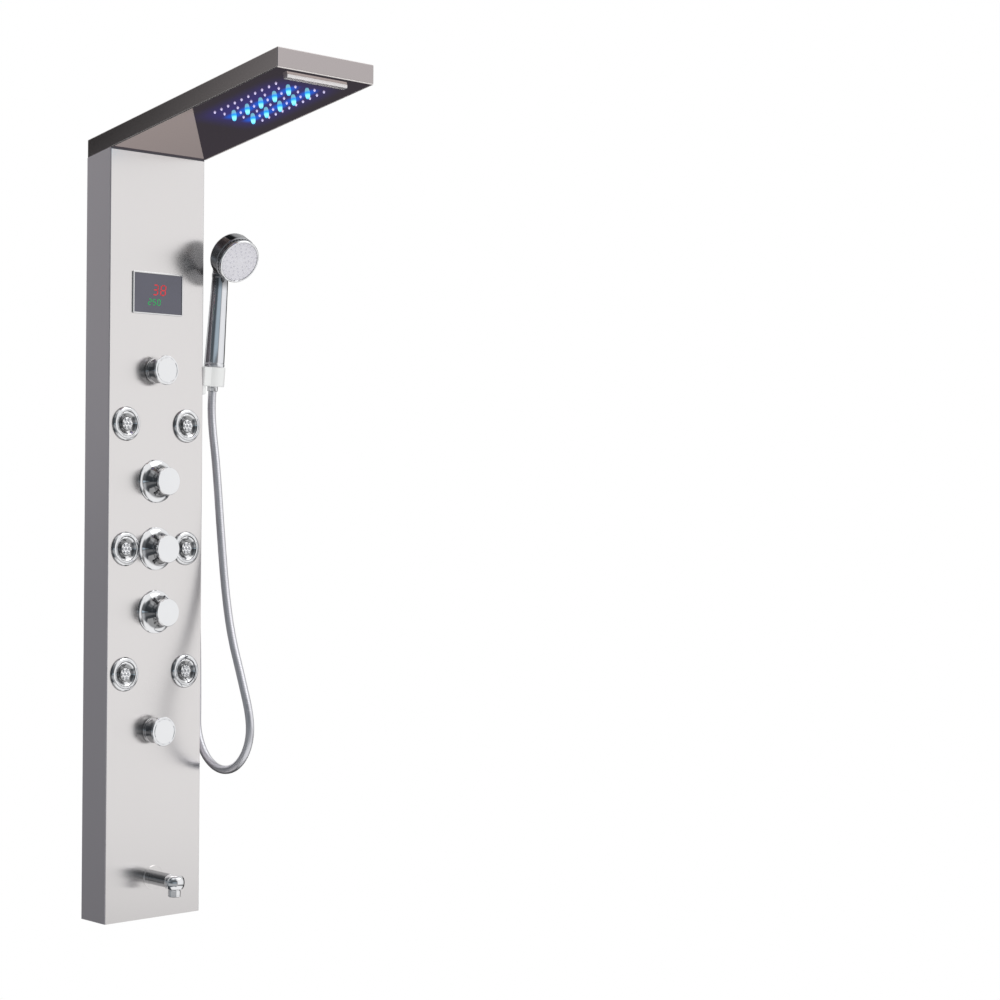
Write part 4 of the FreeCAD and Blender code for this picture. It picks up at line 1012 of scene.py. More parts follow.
    def lamps(self) -> None:
        """Large soft lamps over the front, on the left and behind."""
        for name, place, aim, size, power in self.LAMPS:
            data = bpy.data.lights.new(name, "AREA")
            data.size = size
            data.energy = power
            lamp = bpy.data.objects.new(name, data)
            lamp.location = place
            lamp.rotation_mode = "QUATERNION"
            lamp.rotation_quaternion = (Vector(aim) - Vector(place)).to_track_quat("-Z", "Y")
            bpy.context.scene.collection.objects.link(lamp)

    def build(self) -> None:
        """Everything round the object but the camera."""
        self.world()
        self.stage()
        self.lamps()
        bpy.context.scene.view_settings.view_transform = "Standard"


@dataclass
class HandsetFrame:
    """Where the hand shower stands.

    Args:
        foot: The foot of its axis.
        lean: Lean of the axis in degrees.
        spray: Middle of the spray face from the foot, forward and up.
        tilt: Tilt of the spray face in degrees.
        twist: Turn of the head about the handle's axis in degrees.
    """

    foot: Triple = (130.0, -57.0, 292.0)
    lean: float = 5.5
    spray: Pair = (55.4, 178.5)
    tilt: float = 22.4
    twist: float = -5.9

    def upright(self) -> Matrix:
        """Frame on the handle's axis."""
        return shift(*self.foot) @ turn_about("X", self.lean)

    def face(self) -> Matrix:
        """Frame on the spray face, with +Z out of it."""
        turned = self.upright() @ turn_about("Z", self.twist)
        return turned @ shift(0.0, -self.spray[0], self.spray[1]) @ turn_about("X", 90.0 + self.tilt)


@dataclass
class Hose:
    """The wound steel hose between the hand shower and the outlet.

    Args:
        diameter: Outer diameter.
        pitch: Length of one turn of the winding.
        rings: Rings of the mesh to one turn.
        groove: Depth of the groove between turns.
        sides: Corners of a ring.
        exit: Where it leaves the lower nut; not used.
        slack: Two points in metres: it rests with the column before the first and goes with the hand shower after
        the second; not used.
        route: The route's points from the cone nut down, round the loop and up.
    """

    diameter: float = 14.0
    pitch: float = 3.0
    rings: int = 3
    groove: float = 0.3
    sides: int = 20
    exit: Triple = (120.0, -20.0, 28.0)
    slack: tuple[Triple, Triple] = ((0.130, 0.0519, 0.2081), (0.130, -0.0530, 0.2500))
    route: tuple[Triple, ...] = (
        (130.0, -52.95, 249.89), (130.0, -50.3, 225.0), (130.0, -54.0, 185.0), (129.0, -66.0, 125.0),
        (126.5, -81.5, 15.0), (122.5, -99.0, -85.0), (118.5, -120.0, -162.0), (115.0, -150.5, -229.0),
        (112.5, -180.3, -303.3), (114.0, -170.1, -350.5), (118.0, -135.6, -384.1), (123.0, -88.1, -393.1),
        (128.0, -43.7, -374.3), (131.5, -17.0, -334.1), (132.0, -17.0, -287.0), (130.5, -17.6, -200.0),
        (125.5, -19.0, -105.0), (120.0, -20.0, -23.0), (120.0, -20.0, 28.0),
    )

    def line(self) -> list[Vector]:
        """Read the route's NURBS spline.

        Returns:
            Points along it.
        """
        curve = bpy.data.curves.new("hose_line", "CURVE")
        curve.dimensions = "3D"
        spline = curve.splines.new("NURBS")
        spline.points.add(len(self.route) - 1)
        for point, place in zip(spline.points, self.route):
            point.co = (*place, 1.0)
        spline.order_u = 3
        spline.use_endpoint_u = True
        spline.resolution_u = 40
        holder = bpy.data.objects.new("hose_line", curve)
        mesh = bpy.data.meshes.new_from_object(holder)
        points = [vert.co.copy() for vert in mesh.vertices]
        bpy.data.objects.remove(holder)
        bpy.data.curves.remove(curve)
        bpy.data.meshes.remove(mesh)
        return points

    def stations(self, points: Sequence[Vector], step: float) -> list[Vector]:
        """Step along the points read from the spline.

        Args:
            points: The points.
            step: Distance from place to place.

        Returns:
            The places.
        """
        places = [points[0].copy()]
        for ahead in points[1:]:
            while (ahead - places[-1]).length >= step:
                places.append(places[-1] + (ahead - places[-1]).normalized() * step)
        return places

    def build(self) -> None:
        """The winding: turns with a groove between them."""
        step = self.pitch / self.rings
        path = self.stations(self.line(), step)
        radius = self.diameter / 2
        radii = [radius - (0.0 if ring % self.rings else self.groove) for ring in range(len(path))]
        hose = Form.swept(path, radii, self.sides).settled("hose_winding", HOSE_STEEL, None, ["shower_hose"])
        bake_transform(hose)


@dataclass
class Column:
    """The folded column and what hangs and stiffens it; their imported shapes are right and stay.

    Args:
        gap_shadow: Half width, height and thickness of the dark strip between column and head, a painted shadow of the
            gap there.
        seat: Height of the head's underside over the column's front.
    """

    gap_shadow: Triple = (99.0, 2.5, 0.4)
    seat: float = 640.7

    def build(self) -> None:
        """The painted shadow strip under the head, steel outside, zinc behind."""
        half, high, thick = self.gap_shadow
        depth = (FRONT - 0.7 * thick, FRONT + 0.3 * thick)
        # Painted shadow: a dark strip where the head meets the column.
        Form.block((-half, half), depth, (self.seat - high, self.seat), 0.1).settled("head_gap_shadow", DARK_RUBBER)
        dress(PANEL, "front_panel")
        dress(ZINC, "wall_brackets", "hanging_rails", "head_gussets", "holder_screws")


@dataclass
class Head:
    """The tilted rain head.

    Args:
        width: Across the column.
        reach: From the wall to the tip.
        thickness: Height of the folded side.
        sheet: Thickness of the sheet.
        fold: Radius of the folds.
        strip: Half width of the painted highlight strips along the lower edges.
        field: Middle of the rain field along the underside.
        pitch: Distance of the field's columns and rows.
        counts: Number of columns and rows.
        mouth: Middle of the waterfall mouth along the underside.
        mouth_size: Its width, depth and drop.
    """

    width: float = 200.0
    reach: float = 470.0
    thickness: float = 30.0
    sheet: float = 1.2
    fold: float = 1.4
    strip: float = 0.9
    field: float = 344.0
    pitch: Pair = (20.0, 16.2)
    counts: tuple[int, int] = (6, 10)
    mouth: float = 453.0
    mouth_size: Triple = (125.0, 9.0, 5.0)

    def frame(self) -> Matrix:
        """Frame of the underside, which runs to -Y from the wall."""
        return shift(0.0, 0.0, HALF_HEIGHT) @ turn_about("X", -TILT)

    def shell(self) -> None:
        """The folded sheet, open below, with softened folds."""
        half, slope = self.width / 2, math.tan(math.radians(TILT))
        form = Form.block((-half, half), (-self.reach, 0.0), (0.0, self.thickness), self.fold)
        bmesh.ops.delete(form.bm, geom=form.faces_towards(DOWN), context="FACES")
        form.moved(Matrix(((1, 0, 0, 0), (0, 1, 0, 0), (0, -slope, 1, HALF_HEIGHT), (0, 0, 0, 1))))
        bmesh.ops.solidify(form.bm, geom=form.bm.faces, thickness=self.sheet)
        form.cleaned().settled("head_folded", HEAD, stands_for=["head_shell"])

    def edge_highlights(self) -> None:
        """Painted highlight strips along the two sides and the tip."""
        corner, bar = self.width / 2 - self.strip, (-self.strip, self.strip)
        tip = self.sheet - self.reach / math.cos(math.radians(TILT))
        left, right = (
            Form.block(bar, (tip, FRONT - 3.0), bar, 0.2).moved(shift(side, 0.0, 0.3) @ turn_about("Y", 45.0))
            for side in (-corner, corner)
        )
        front = Form.block((-corner, corner), bar, bar, 0.2).moved(shift(0.0, tip, 0.3) @ turn_about("X", 45.0))
        left.joined(right, front).moved(self.frame()).settled("head_edge_highlight", EDGE_HIGHLIGHT)

    def places(self) -> tuple[list[Matrix], list[Matrix]]:
        """Share out the rain field.

        Returns:
            Places of the nozzles and of the lamps.
        """
        nozzles: list[Matrix] = []
        lamps: list[Matrix] = []
        columns, rows = self.counts
        for row in range(rows):
            y = -self.field + (row - (rows - 1) / 2) * self.pitch[1]
            for column in range(columns):
                x = (column - (columns - 1) / 2) * self.pitch[0]
                edge = column in (0, columns - 1)
                if edge or (row + column) % 2 == 0 and (row % 2 == 1 or column % 2 == 0):
                    nozzles.append(self.frame() @ shift(x, y, 0.0))
                elif row % 2 == 1 and column % 2 == 0:
                    lamps.append(self.frame() @ shift(x, y, 0.0))
        return nozzles, lamps

    def outlets(self) -> None:
        """Soft nozzles with a bore, and domed lamp lenses."""
        nozzles, lamps = self.places()
        tip = ((0.0, -1.0), (0.6, -1.0), (0.65, -1.9), (1.2, -2.0), (1.6, -0.3), (2.0, 0.2), (2.3, 1.4))
        Form.turned(tip, steps=14).repeated(nozzles).settled("rain_tips", NOZZLE_RUBBER, stands_for=["rain_nozzles"])
        dome = ((0.0, -9.0), (1.4, -8.8), (2.4, -8.1), (3.1, -6.6), (3.7, -3.4), (4.1, 0.1), (4.1, 1.4))
        Form.turned(dome, steps=24).repeated(lamps).settled("lamp_domes", LENS, stands_for=["led_lenses"])

    def waterfall(self) -> None:
        """The water box and the mouth that stands out of the underside."""
        width, depth, drop = self.mouth_size
        near, far = depth / 2 - self.mouth, -depth / 2 - self.mouth
        box = Form.block((-width / 2 - 5, width / 2 + 5), (far - 5, near + 5), (1.5, 26.0), 1.0)
        lip = Form.block((-width / 2, width / 2), (far, near), (-drop, 2.0), 0.7)
        low = [vert for vert in lip.bm.verts if vert.co.z < -drop / 2]
        bmesh.ops.translate(lip.bm, vec=(0, 1.4, 0), verts=low)
        opening = lip.faces_towards(DOWN)
        bmesh.ops.inset_region(lip.bm, faces=opening, thickness=0.9)
        bmesh.ops.translate(lip.bm, vec=(0, 0, drop), verts=list({vert for face in opening for vert in face.verts}))
        box.joined(lip).moved(self.frame()).settled("waterfall_mouth", LIP, stands_for=["waterfall_outlet"])

    def build(self) -> None:
        """The whole head."""
        self.shell()
        self.edge_highlights()
        self.outlets()
        self.waterfall()
        dress(MIRROR, "head_plate")
        dress(WHITE_PLASTIC, "rain_chamber")


@dataclass
class Display:
    """The temperature display.

    Args:
        up: Height of its middle.
        width: Of the frame.
        height: Of the frame.
        border: Width of the frame's bars.
        corner: Radius of its corners.
        stand: How far the frame stands out of the column.
        recess: How far the window lies behind the frame's face.
    """

    up: float = 407.0
    width: float = 106.0
    height: float = 70.0
    border: float = 2.2
    corner: float = 2.0
    stand: float = 2.5
    recess: float = 1.0

    SEGMENTS = {"0": "abcdef", "2": "abdeg", "3": "abcdg", "5": "acdfg", "8": "abcdefg"}

    def face(self) -> float:
        """Depth of the window's face."""
        return FRONT - self.stand + self.recess

    def bezel(self) -> None:
        """A frame with rounded corners and a softened front edge."""
        half, rise, soft = self.width / 2, self.height / 2, 0.5
        form = Form.block((-half, half), (FRONT - self.stand, FRONT), (self.up - rise, self.up + rise), 0.0)
        form.bevel(form.edges_inward(self.recess), self.corner, 5)
        form.bevel(list(form.faces_towards(OUTWARD)[0].edges), soft, 2)
        faces = form.faces_towards(OUTWARD) + form.faces_towards(-OUTWARD)
        bmesh.ops.inset_region(form.bm, faces=faces, thickness=self.border - soft)
        inner = [edge for face in faces for edge in face.edges]
        bmesh.ops.delete(form.bm, geom=faces, context="FACES_ONLY")
        bmesh.ops.bridge_loops(form.bm, edges=inner)
        form.cleaned().settled("display_frame", SATIN, stands_for=["display_bezel"])

    def window(self) -> None:
        """The dark window in the frame."""
        half, rise = self.width / 2 - self.border - 0.2, self.height / 2 - self.border - 0.2
        form = Form.block((-half, half), (self.face(), self.face() + 2.4), (self.up - rise, self.up + rise), 0.4)
        form.settled("display_window", WINDOW, stands_for=["display_glass"])

    def digits(self, text: str, name: str, finish: Finish, middle: Pair, size: float) -> None:
        """Lit seven-bar digits on the window.

        Args:
            text: The digits.
            name: The piece's name.
            finish: Their finish.
            middle: Middle of the text on the window, across and up.
            size: Height of a digit.
        """
        wide, bar, lean = 0.60 * size, 0.13 * size, 0.12
        spots = {
            "a": (0, 0.5, 0), "b": (0.5, 0.25, 1), "c": (0.5, -0.25, 1), "d": (0, -0.5, 0),
            "e": (-0.5, -0.25, 1), "f": (-0.5, 0.25, 1), "g": (0, 0, 0),
        }
        places = []
        for number, digit in enumerate(text):
            across = (number - (len(text) - 1) / 2) * (wide + 3.2 * bar)
            for name_of_bar in self.SEGMENTS[digit]:
                x, up, upright = spots[name_of_bar]
                places.append(shift(across + x * wide, 0.0, up * size) @ turn_about("Y", 90.0 * upright))
        long = wide / 2 - 0.08 * size
        segment = Form.block((-long, long), (-0.3, 0.1), (-bar / 2, bar / 2), 0.0)
        segment.bevel(segment.edges_inward(0.2), 0.4 * bar, 1)
        slant = Matrix(((1, 0, lean, 0), (0, 1, 0, 0), (0, 0, 1, 0), (0, 0, 0, 1)))
        place = shift(middle[0], self.face(), self.up + middle[1]) @ slant
        segment.repeated(places).moved(place).settled(name, finish)

    def build(self) -> None:
        """Frame, window and two lines of digits."""
        self.bezel()
        self.window()
        self.digits("38", "display_upper_digits", RED_DIGIT, (2.5, 6.0), 16.0)
        self.digits("250", "display_lower_digits", GREEN_DIGIT, (-8.0, -14.5), 9.5)
        dress(WHITE_PLASTIC, "display_case")


class Control(Enum):
    """The five controls: name, height, and for those with a skirt the turn, radius and height of the index dot."""

    RAIN = ("rain", 279.0, None)
    WATERFALL = ("waterfall", 95.0, (-52.0, 33.0, 4.3))
    MIXER = ("mixer", -17.0, (78.0, 23.7, 10.1))
    JETS = ("jets", -122.0, (58.0, 30.0, 5.8))
    SPOUT = ("spout", -319.0, None)


@dataclass
class Knobs:
    """The turned knobs.

    Args:
        disc: Radius of the front disc, on a plain and on a skirted knob.
        waist: Radius of the drawn-in waist.
        foot: Radius of a plain knob's foot.
        skirt: Outer radius of the skirt and radius where it meets the waist.
        reach: How far a plain and a skirted knob stand out.
    """

    disc: Pair = (24.5, 23.0)
    waist: float = 18.5
    foot: float = 21.0
    skirt: Pair = (36.0, 25.0)
    reach: Pair = (27.0, 35.0)

    def outline(self, skirted: bool) -> Outline:
        """Draw a knob's outline.

        Args:
            skirted: Whether the knob has a skirt.

        Returns:
            (radius, height) points from the hollow over its nut to the disc.
        """
        top, disc, neck = self.reach[skirted], self.disc[skirted], self.waist
        hollow = [(4.2, 5.8), (16.0, 5.8), (16.0, 0.8)]
        if skirted:
            edge, inner = self.skirt
            root = [
                *beside(edge, (0.0, 0.8), (0.0, 2.0), (-0.8, 2.9), (-3.4, 3.6), (-6.4, 4.9), (-9.0, 6.6)),
                *beside(inner, (-0.4, 8.6), (-2.6, 11.0), (-4.6, 13.6)),
                *beside(neck, (0.5, 16.2), (0.0, 17.4)),
            ]
            face = beside(disc, (-1.2, top))
        else:
            root = [*beside(self.foot, (0.0, 0.8), (0.0, 3.8), (-0.5, 4.8), (-1.4, 7.2)), (neck + 0.4, 10.0)]
            face = beside(disc, (-1.2, top), (-2.6, top - 0.1), (-3.2, top - 0.8), (-4.2, top - 0.8), (-4.8, top))
        waist = [*beside(neck, (0.0, top - 12.4), (0.2, top - 10.0), (1.4, top - 7.0)), (disc - 1.4, top - 4.8)]
        rim = beside(disc, (0.0, top - 3.9), (0.0, top - 0.8), (-0.5, top - 0.15))
        return [*hollow, *root, *waist, *rim, *face, (0.0, top)]

    def build(self) -> None:
        """Five knobs, and index dots on the skirts."""
        drop = ((1.8, -1.2), (1.8, 0.2), (1.4, 0.6), (0.8, 0.9), (0.0, 1.0))
        for control in Control:
            name, up, dot = control.value
            body, place = f"{name}_control", on_front(0.0, up)
            knob = Form.turned(self.outline(dot is not None), steps=72).moved(place)
            knob.settled(f"{name}_turned_knob", SKIRT_CHROME if dot else KNOB_CHROME, body, [f"{name}_knob"])
            if dot:
                turn, radius, high = dot
                spot = place @ turn_about("Z", turn) @ shift(radius, 0.0, high) @ turn_about("Y", 22.0)
                Form.turned(drop, steps=20).moved(spot).settled(f"{name}_index_dot", DARK_RUBBER, body)
            dress(BRASS, f"{name}_spindle")


@dataclass
class Jets:
    """The six swivelling body jets.

    Args:
        offset: From the column's middle, across.
        heights: Rows by name.
        centre: Depth of the balls' middles in front of the sheet, negative inside.
        radius: Of the balls.
    """

    offset: float = 64.0
    heights: tuple[tuple[str, float], ...] = (("upper", 189.0), ("middle", -17.0), ("lower", -223.0))
    centre: float = -4.0
    radius: float = 21.5

    def places(self) -> dict[str, Matrix]:
        """Frames of the jets by name."""
        sides = (("left", -self.offset), ("right", self.offset))
        return {f"{row}_{side}": on_front(x, up) for row, up in self.heights for side, x in sides}

    def rings(self) -> None:
        """Rounded rings, each with a fine step inside."""
        outline = (
            (21.6, 0.0), (28.5, 0.0), (28.5, 0.9), (28.0, 2.4), (26.8, 3.9), (24.9, 4.9), (23.2, 5.0), (22.6, 4.4),
            (21.9, 4.4), (21.4, 5.0), (20.4, 4.8), (20.7, 3.4), (21.2, 2.0), (21.6, 0.0),
        )
        rims = Form.turned(outline, steps=64).repeated(self.places().values())
        rims.settled("jet_rims", JET_CHROME, stands_for=["jet_rings"])

    def ball(self) -> Form:
        """Make a ball cut flat at both ends, with a crown of six petals and a button in its dish.

        Returns:
            The ball.
        """
        turns = [math.radians(step) for step in range(-36, 24, 6)]
        zone = [(self.radius * math.cos(turn), self.centre + self.radius * math.sin(turn)) for turn in turns]
        dish = [(19.7, 4.4), (19.2, 4.7), (18.6, 4.4), (16.4, 2.6), (14.4, 1.1), (12.8, 0.3), (11.8, 0.1), (11.2, 0.6)]
        crown = [(10.8, 2.0), (10.2, 3.4), (9.0, 4.0), (0.0, 4.2)]
        ball = Form.turned([(0.0, -17.0), (16.9, -17.0), *zone, *dish, *crown], steps=56)
        petal = ((0.0, 5.9), (0.9, 5.9), (1.0, 6.5), (1.5, 6.6), (2.4, 6.1), (3.0, 5.0), (3.2, 3.6))
        button = ((0.0, 6.6), (1.4, 6.5), (2.3, 5.9), (2.7, 4.8), (2.8, 3.6))
        return ball.joined(Form.turned(petal, steps=20).repeated(on_circle(6, 6.9)), Form.turned(button, steps=20))

    def build(self) -> None:
        """Rings and balls; cups, nuts and rails behind stay as packed."""
        self.rings()
        for name, place in self.places().items():
            ball = self.ball().moved(place)
            ball.settled(f"jet_swivel_{name}", JET_CHROME, f"jet_{name}", [f"jet_ball_{name}"])
        dress(WHITE_PLASTIC, "jet_bodies", "jet_nuts")
        dress(BRASS, "jet_manifold")


@dataclass
class Spout:
    """The bath spout.

    Args:
        up: Height of its axis.
        radius: Of the tube.
        reach: From the column's front to the end's axis.
        end: Radius and height of the upright end.
        aerator: Radius and drop of the aerator.
        rosette: Radius and thickness of the plate at the column.
    """

    up: float = -563.0
    radius: float = 11.8
    reach: float = 56.0
    end: Pair = (17.0, 23.4)
    aerator: Pair = (10.5, 12.0)
    rosette: Pair = (20.0, 1.5)

    def build(self) -> None:
        """Rosette, tube with its end, and aerator with its mesh."""
        wide, thick = self.rosette
        bore = 10.0
        plate = (
            (bore, 0.0), *beside(wide, (0.0, 0.0), (0.0, thick - 0.5), (-0.7, thick)), (12.0, thick), (bore, thick),
            (bore, 0.0),
        )
        Form.turned(plate).moved(on_front(0.0, self.up)).settled("spout_plate", PANEL, stands_for=["spout_rosette"])
        drum, height = self.end
        high, run = height / 2, self.reach - drum / 2
        tube = Form.turned(((9.8, thick), (self.radius, thick), (self.radius, run), (9.8, run)), 0.5)
        sides = beside(
            drum, (-2.6, 1.6 - high), (-0.7, 5.0 - high), (0.0, 9.0 - high), (-0.1, high - 9.5), (-0.9, high - 6.0),
            (-2.8, high - 3.0), (-6.0, high - 0.9), (-10.0, high - 0.1),
        )
        outline = ((0.0, -high), (9.0, -high), *sides, (0.0, high))
        axis = shift(0.0, FRONT - self.reach, self.up)
        tube.moved(on_front(0.0, self.up)).joined(Form.turned(outline).moved(axis))
        tube.settled("spout_tube", TUBE_CHROME, stands_for=["spout_body"])
        radius, drop = self.aerator
        sides = beside(
            radius, (-0.8, 0.0), (-0.8, -1.2), (0.0, -1.6), (0.0, 3.2 - drop), (-0.5, 2.8 - drop), (-0.5, 2.2 - drop),
            (0.0, 1.8 - drop), (0.0, 0.6 - drop), (-0.6, -drop), (-2.0, -drop), (-2.3, 2.4 - drop),
        )
        outline = ((0.0, 0.0), *sides, (0.0, 2.4 - drop))
        below = axis @ shift(0.0, 0.0, -high)
        Form.turned(outline).moved(below).settled("spout_collar", CHROME, stands_for=["spout_aerator"])
        grid = ((0.0, 1.6 - drop), *beside(radius, (-2.6, 1.6 - drop), (-2.6, 2.3 - drop)))
        Form.turned(grid).moved(below).settled("spout_grid", MESH)


@dataclass
class HandShower:
    """The hand shower and the tapered nut under it.

    Args:
        frame: Where it stands.
        spray: Radius of the head's front.
        drum: Radius of the drum behind it.
    """

    frame: HandsetFrame
    spray: float = 37.6
    drum: float = 38.9

    def body(self) -> None:
        """Tapered handle with collars, drum with a notched ring."""
        handle = (
            (0.0, 0.0), (16.6, 0.0), (17.4, 0.6), (17.5, 1.6), (17.5, 5.0), (17.0, 5.5), (16.8, 6.4), (17.2, 7.2),
            (16.6, 34.0), (15.2, 92.0), (14.1, 140.0), (13.8, 151.0), (14.2, 152.0), (14.4, 153.2), (14.4, 157.0),
            (14.0, 158.2), (13.6, 159.0), (13.5, 168.0), (13.0, 172.0), (11.6, 175.6), (9.4, 178.6), (6.4, 180.7),
            (3.2, 181.4), (0.0, 181.6),
        )
        edge, back = self.spray, self.drum
        rear = beside(
            back, (-15.0, -39.0), (-9.5, -38.6), (-5.2, -37.4), (-2.2, -35.4), (-0.6, -33.2), (0.0, -30.6),
            (0.0, -13.0), (-0.3, -12.0), (-1.2, -11.2),
        )
        ring = beside(
            edge, (-1.0, -11.0), (-1.0, -6.6), (-0.2, -6.2), (0.0, -5.6), (0.0, -4.6), (-1.0, -4.2), (-1.0, -3.4),
            (-0.3, -3.0),
        )
        drum = ((0.0, -39.0), *rear, *ring, (0.0, -3.0))
        notch = Form.block((-1.2, 0.0), (-1.3, 1.3), (-10.8, -6.9), 0.3).repeated(on_circle(40, edge - 0.1))
        head = Form.turned(drum, steps=80).joined(notch).moved(self.frame.face())
        whole = Form.turned(handle, steps=64).moved(self.frame.upright()).joined(head)
        whole.settled("handset_shell", HANDSET_CHROME, "handset", ["handset_body"])

    def face(self) -> None:
        """Bright ring, spray plate and soft dots."""
        place = self.frame.face()
        edge = self.spray
        trim = beside(
            edge, (-3.4, -3.0), (0.0, -3.0), (0.0, -2.3), (-0.4, -1.0), (-1.2, -0.2), (-2.2, 0.0), (-3.0, -0.2),
            (-3.4, -0.7), (-3.4, -3.0),
        )
        Form.turned(trim, steps=80).moved(place).settled("handset_ring", CHROME, "handset", ["handset_trim"])
        plate = (
            (0.0, -3.0), *beside(edge - 3.7, (0.0, -3.0), (0.0, -1.0), (-0.8, -0.6)), (29.0, -0.6), (28.4, -1.0),
            (27.6, -1.0), (27.0, -0.6), (9.0, -0.6), (8.4, -0.9), (7.6, -0.9), (7.0, -0.6), (0.0, -0.5),
        )
        Form.turned(plate, steps=80).moved(place).settled("handset_plate", SPRAY_FACE, "handset", ["handset_face"])
        dot = ((0.0, -0.1), (0.45, -0.1), (0.5, 0.35), (0.9, 0.4), (1.2, 0.0), (1.3, -0.7))
        circles = [*on_circle(8, 12.0), *on_circle(14, 24.0), *on_circle(12, 18.0, 9.0), *on_circle(24, 31.6, 4.0)]
        dots = Form.turned(dot, steps=12).repeated(circles).moved(place)
        dots.settled("handset_dots", SPRAY_DOT, "handset", ["handset_nozzles"])

    def nut(self) -> None:
        """The tapered nut, with grooves that a hand can grip."""
        outline = (
            (0.0, -42.0), (8.0, -42.0), (8.6, -41.6), (8.8, -41.0), (9.2, -35.6), (8.9, -35.2), (8.9, -34.4),
            (9.3, -34.0), (9.5, -31.0), (9.2, -30.6), (9.2, -29.8), (9.6, -29.4), (11.2, -4.4), (10.9, -4.0),
            (10.9, -3.2), (11.3, -2.8), (11.4, -0.6), (11.0, -0.1), (0.0, -0.1),
        )
        nut = Form.turned(outline, steps=48).moved(self.frame.upright())
        nut.settled("cone_nut_turned", CHROME, "handset", ["hose_cone_nut"])

    def build(self) -> None:
        """The whole hand shower."""
        self.body()
        self.face()
        self.nut()


@dataclass
class Holder:
    """The hand shower's holder on the column's right side.

    Args:
        frame: Where the hand shower stands.
        radius: Of the cup.
        height: Of the cup.
        gap: Half angle of the slot in degrees.
        base: Ends of the base plate across, from front to back and up.
    """

    frame: HandsetFrame
    radius: float = 19.5
    height: float = 33.0
    gap: float = 32.0
    base: tuple[Pair, Pair, Pair] = ((SIDE, 109.0), (-62.0, -32.0), (244.0, 292.0))

    def build(self) -> None:
        """An open cup, its arm and the base plate."""
        low, high = -0.3 - self.height, -0.3
        wall = beside(self.radius, (-1.0, high), (0.0, high - 1.0), (0.0, low + 1.0), (-1.0, low))
        outline = ((11.9, high), *wall, (9.9, low), (11.9, high))
        cup = Form.turned(outline, steps=48, sweep=360.0 - 2 * self.gap).moved(turn_about("Z", self.gap))
        arm = Form.block((-29.9, -12.2), (-12.5, 12.5), (low + 0.4, high - 0.4), 2.0)
        holder = cup.joined(arm).moved(self.frame.upright())
        holder.joined(Form.block(*self.base, 2.5))
        holder.settled("holder_cup", HOLDER_WHITE, stands_for=["handset_holder"])


@dataclass
class Outlet:
    """The elbow on the column's right side and the hose's lower nut.

    Args:
        up: Height of the elbow.
        axis: Where its stub hangs, across.
        foot: Height of the nut's foot.
    """

    up: float = 60.0
    axis: float = 120.0
    foot: float = 28.0

    def build(self) -> None:
        """Flange and neck, knee with a domed cap, stub, and a nut with grips."""
        side = shift(SIDE, RISER, self.up) @ turn_about("Y", 90.0)
        neck = (
            (0.0, -24.0), (9.0, -24.0), (9.0, 0.0), (14.0, 0.0), (14.0, 1.8), (13.0, 3.0), (10.2, 3.2), (9.0, 4.4),
            (9.0, 20.0), (0.0, 20.0),
        )
        knee = (
            (0.0, -28.0), (9.0, -28.0), (9.0, -11.2), (10.0, -10.6), (10.5, -9.6), (10.5, 7.4), (9.8, 9.2), (8.2, 10.3),
            (0.0, 10.5),
        )
        block = Form.block((75.8, 93.8), (RISER - 9.0, RISER + 9.0), (self.up - 14.0, self.up + 12.0), 0.8)
        elbow = Form.turned(neck, steps=40).moved(side).joined(block)
        elbow.joined(Form.turned(knee, steps=40).moved(shift(self.axis, RISER, self.up)))
        elbow.settled("outlet_elbow", CHROME, stands_for=["hose_outlet"])
        nut = (
            (7.4, 0.0), (8.6, 0.0), (9.2, 0.5), (11.2, 3.6), (11.5, 4.4), (11.5, 18.8), (10.9, 19.8), (9.3, 20.0),
            (9.3, 4.2), (7.4, 4.0), (7.4, 0.0),
        )
        grip = Form.block((-0.4, 0.35), (-0.7, 0.7), (6.0, 17.6), 0.2).repeated(on_circle(28, 11.5))
        whole = Form.turned(nut, steps=56).joined(grip).moved(shift(self.axis, RISER, self.foot))
        whole.settled("outlet_nut_turned", CHROME, stands_for=["hose_outlet_nut"])


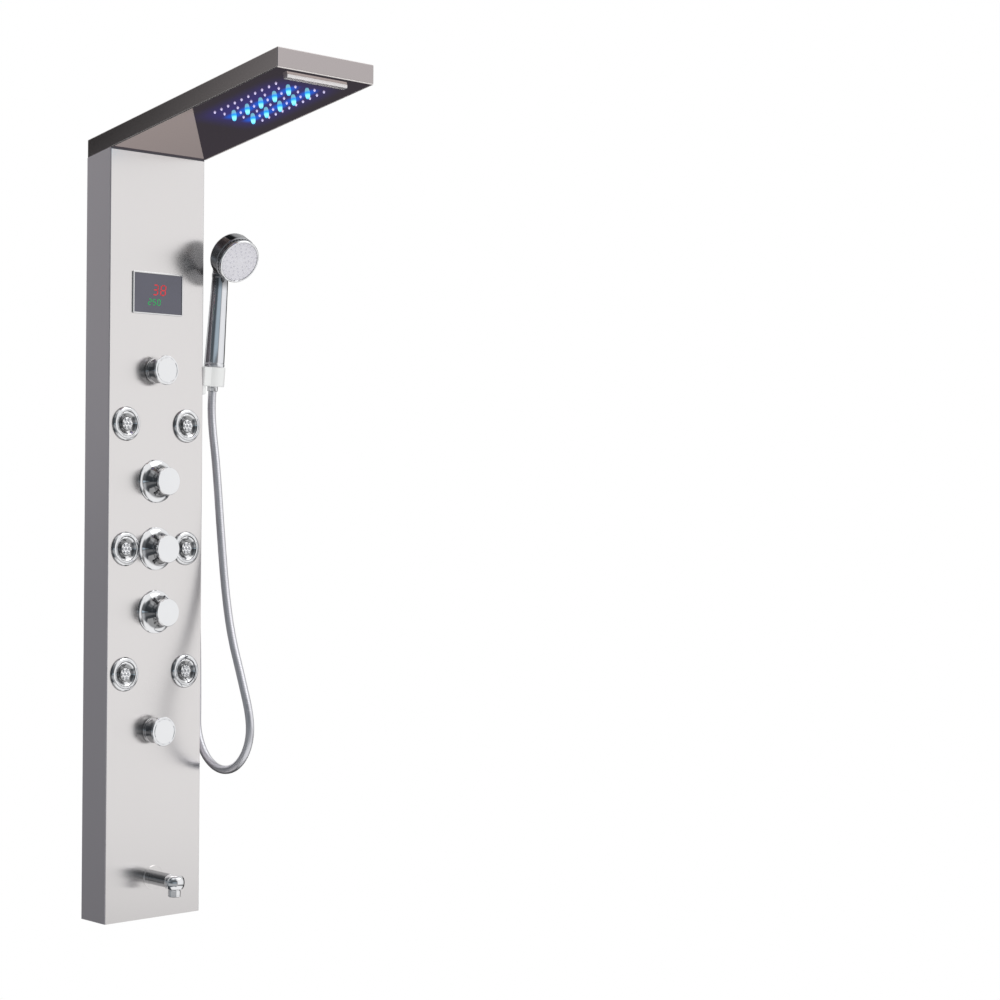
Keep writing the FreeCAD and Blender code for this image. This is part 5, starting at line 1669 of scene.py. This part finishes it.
@dataclass
class Plumbing:
    """What is behind the column: valves stay as packed, pipes are drawn round.

    Args:
        riser: Radius of the supply risers.
        pipe: Radius of the outlet pipes.
        half: Half height of a valve.
    """

    riser: float = 7.0
    pipe: float = 5.0
    half: float = 30.0

    def bent(self, points: Sequence[Triple], corner: float) -> list[Vector]:
        """Round the corners of a pipe's line.

        Args:
            points: Ends of its straight runs.
            corner: Size of the rounding.

        Returns:
            Points along the line.
        """
        form = Form()
        verts = [form.bm.verts.new(point) for point in points]
        for pair in zip(verts, verts[1:]):
            form.bm.edges.new(pair)
        form.bevel(verts[1:-1], corner, 7, "VERTICES")
        ends = [vert for vert in form.bm.verts if len(vert.link_edges) == 1]
        here = min(ends, key=lambda vert: (vert.co - Vector(points[0])).length)
        line, before = [here.co.copy()], None
        while True:
            onward = [edge for edge in here.link_edges if edge is not before]
            if not onward:
                return line
            before = onward[0]
            here = before.other_vert(here)
            line.append(here.co.copy())

    def build(self) -> None:
        """Risers with swaged ends, bent outlet pipes, and brass for the rest."""
        ends = sorted(control.value[1] for control in Control)
        risers = Form()
        for low, high in zip(ends, ends[1:]):
            long = high - low - 2 * self.half
            swage = self.riser + 1.2
            outline = (
                (0.0, 0.0), (swage, 0.0), (swage, 5.0), (self.riser, 6.5), (self.riser, long - 6.5),
                (swage, long - 5.0), (swage, long), (0.0, long),
            )
            risers.joined(Form.turned(outline, steps=32).moved(shift(0.0, RISER, low + self.half)))
        risers.settled("riser_tubes", BRASS, stands_for=["supply_risers"])
        rain, falls, spout = (control.value[1] for control in (Control.RAIN, Control.WATERFALL, Control.SPOUT))
        runs = (
            (((0, RISER, rain + self.half), (0, RISER, 641.0), (0, -242.5, 678.2)), 20.0),
            (((14, RISER, falls), (37, RISER, falls), (37, RISER, 654.6), (37, -434.5, 724.0)), 14.0),
            (((0, RISER, spout - self.half), (0, RISER, -450), (0, RISER, -550)), 1.0),
            (((14, RISER, spout), (84.8, RISER, spout), (84.8, RISER, 46)), 14.0),
        )
        pipes = Form()
        for points, corner in runs:
            line = self.bent(points, corner)
            pipes.joined(Form.swept(line, [self.pipe] * len(line), 20))
        pipes.settled("outlet_tubes", BRASS, stands_for=["outlet_pipes"])
        dress(BRASS, "mixer_body", "mixer_cartridge", "valve_cartridges", "clamp_nuts", "lock_nuts", "spout_shank")
        valves = (control.value[0] for control in Control if control is not Control.MIXER)
        dress(BRASS, *(f"{name}_valve_body" for name in valves))


def main() -> None:
    """Build the whole scene."""
    logging.basicConfig(level=logging.INFO, format="%(message)s")
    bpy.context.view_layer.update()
    studio = Studio()
    studio.camera()
    Hose().build()
    Column().build()
    Head().build()
    Display().build()
    Knobs().build()
    Jets().build()
    Spout().build()
    standing = HandsetFrame()
    HandShower(standing).build()
    Holder(standing).build()
    Outlet().build()
    Plumbing().build()
    studio.build()


if __name__ == "__main__":
    main()
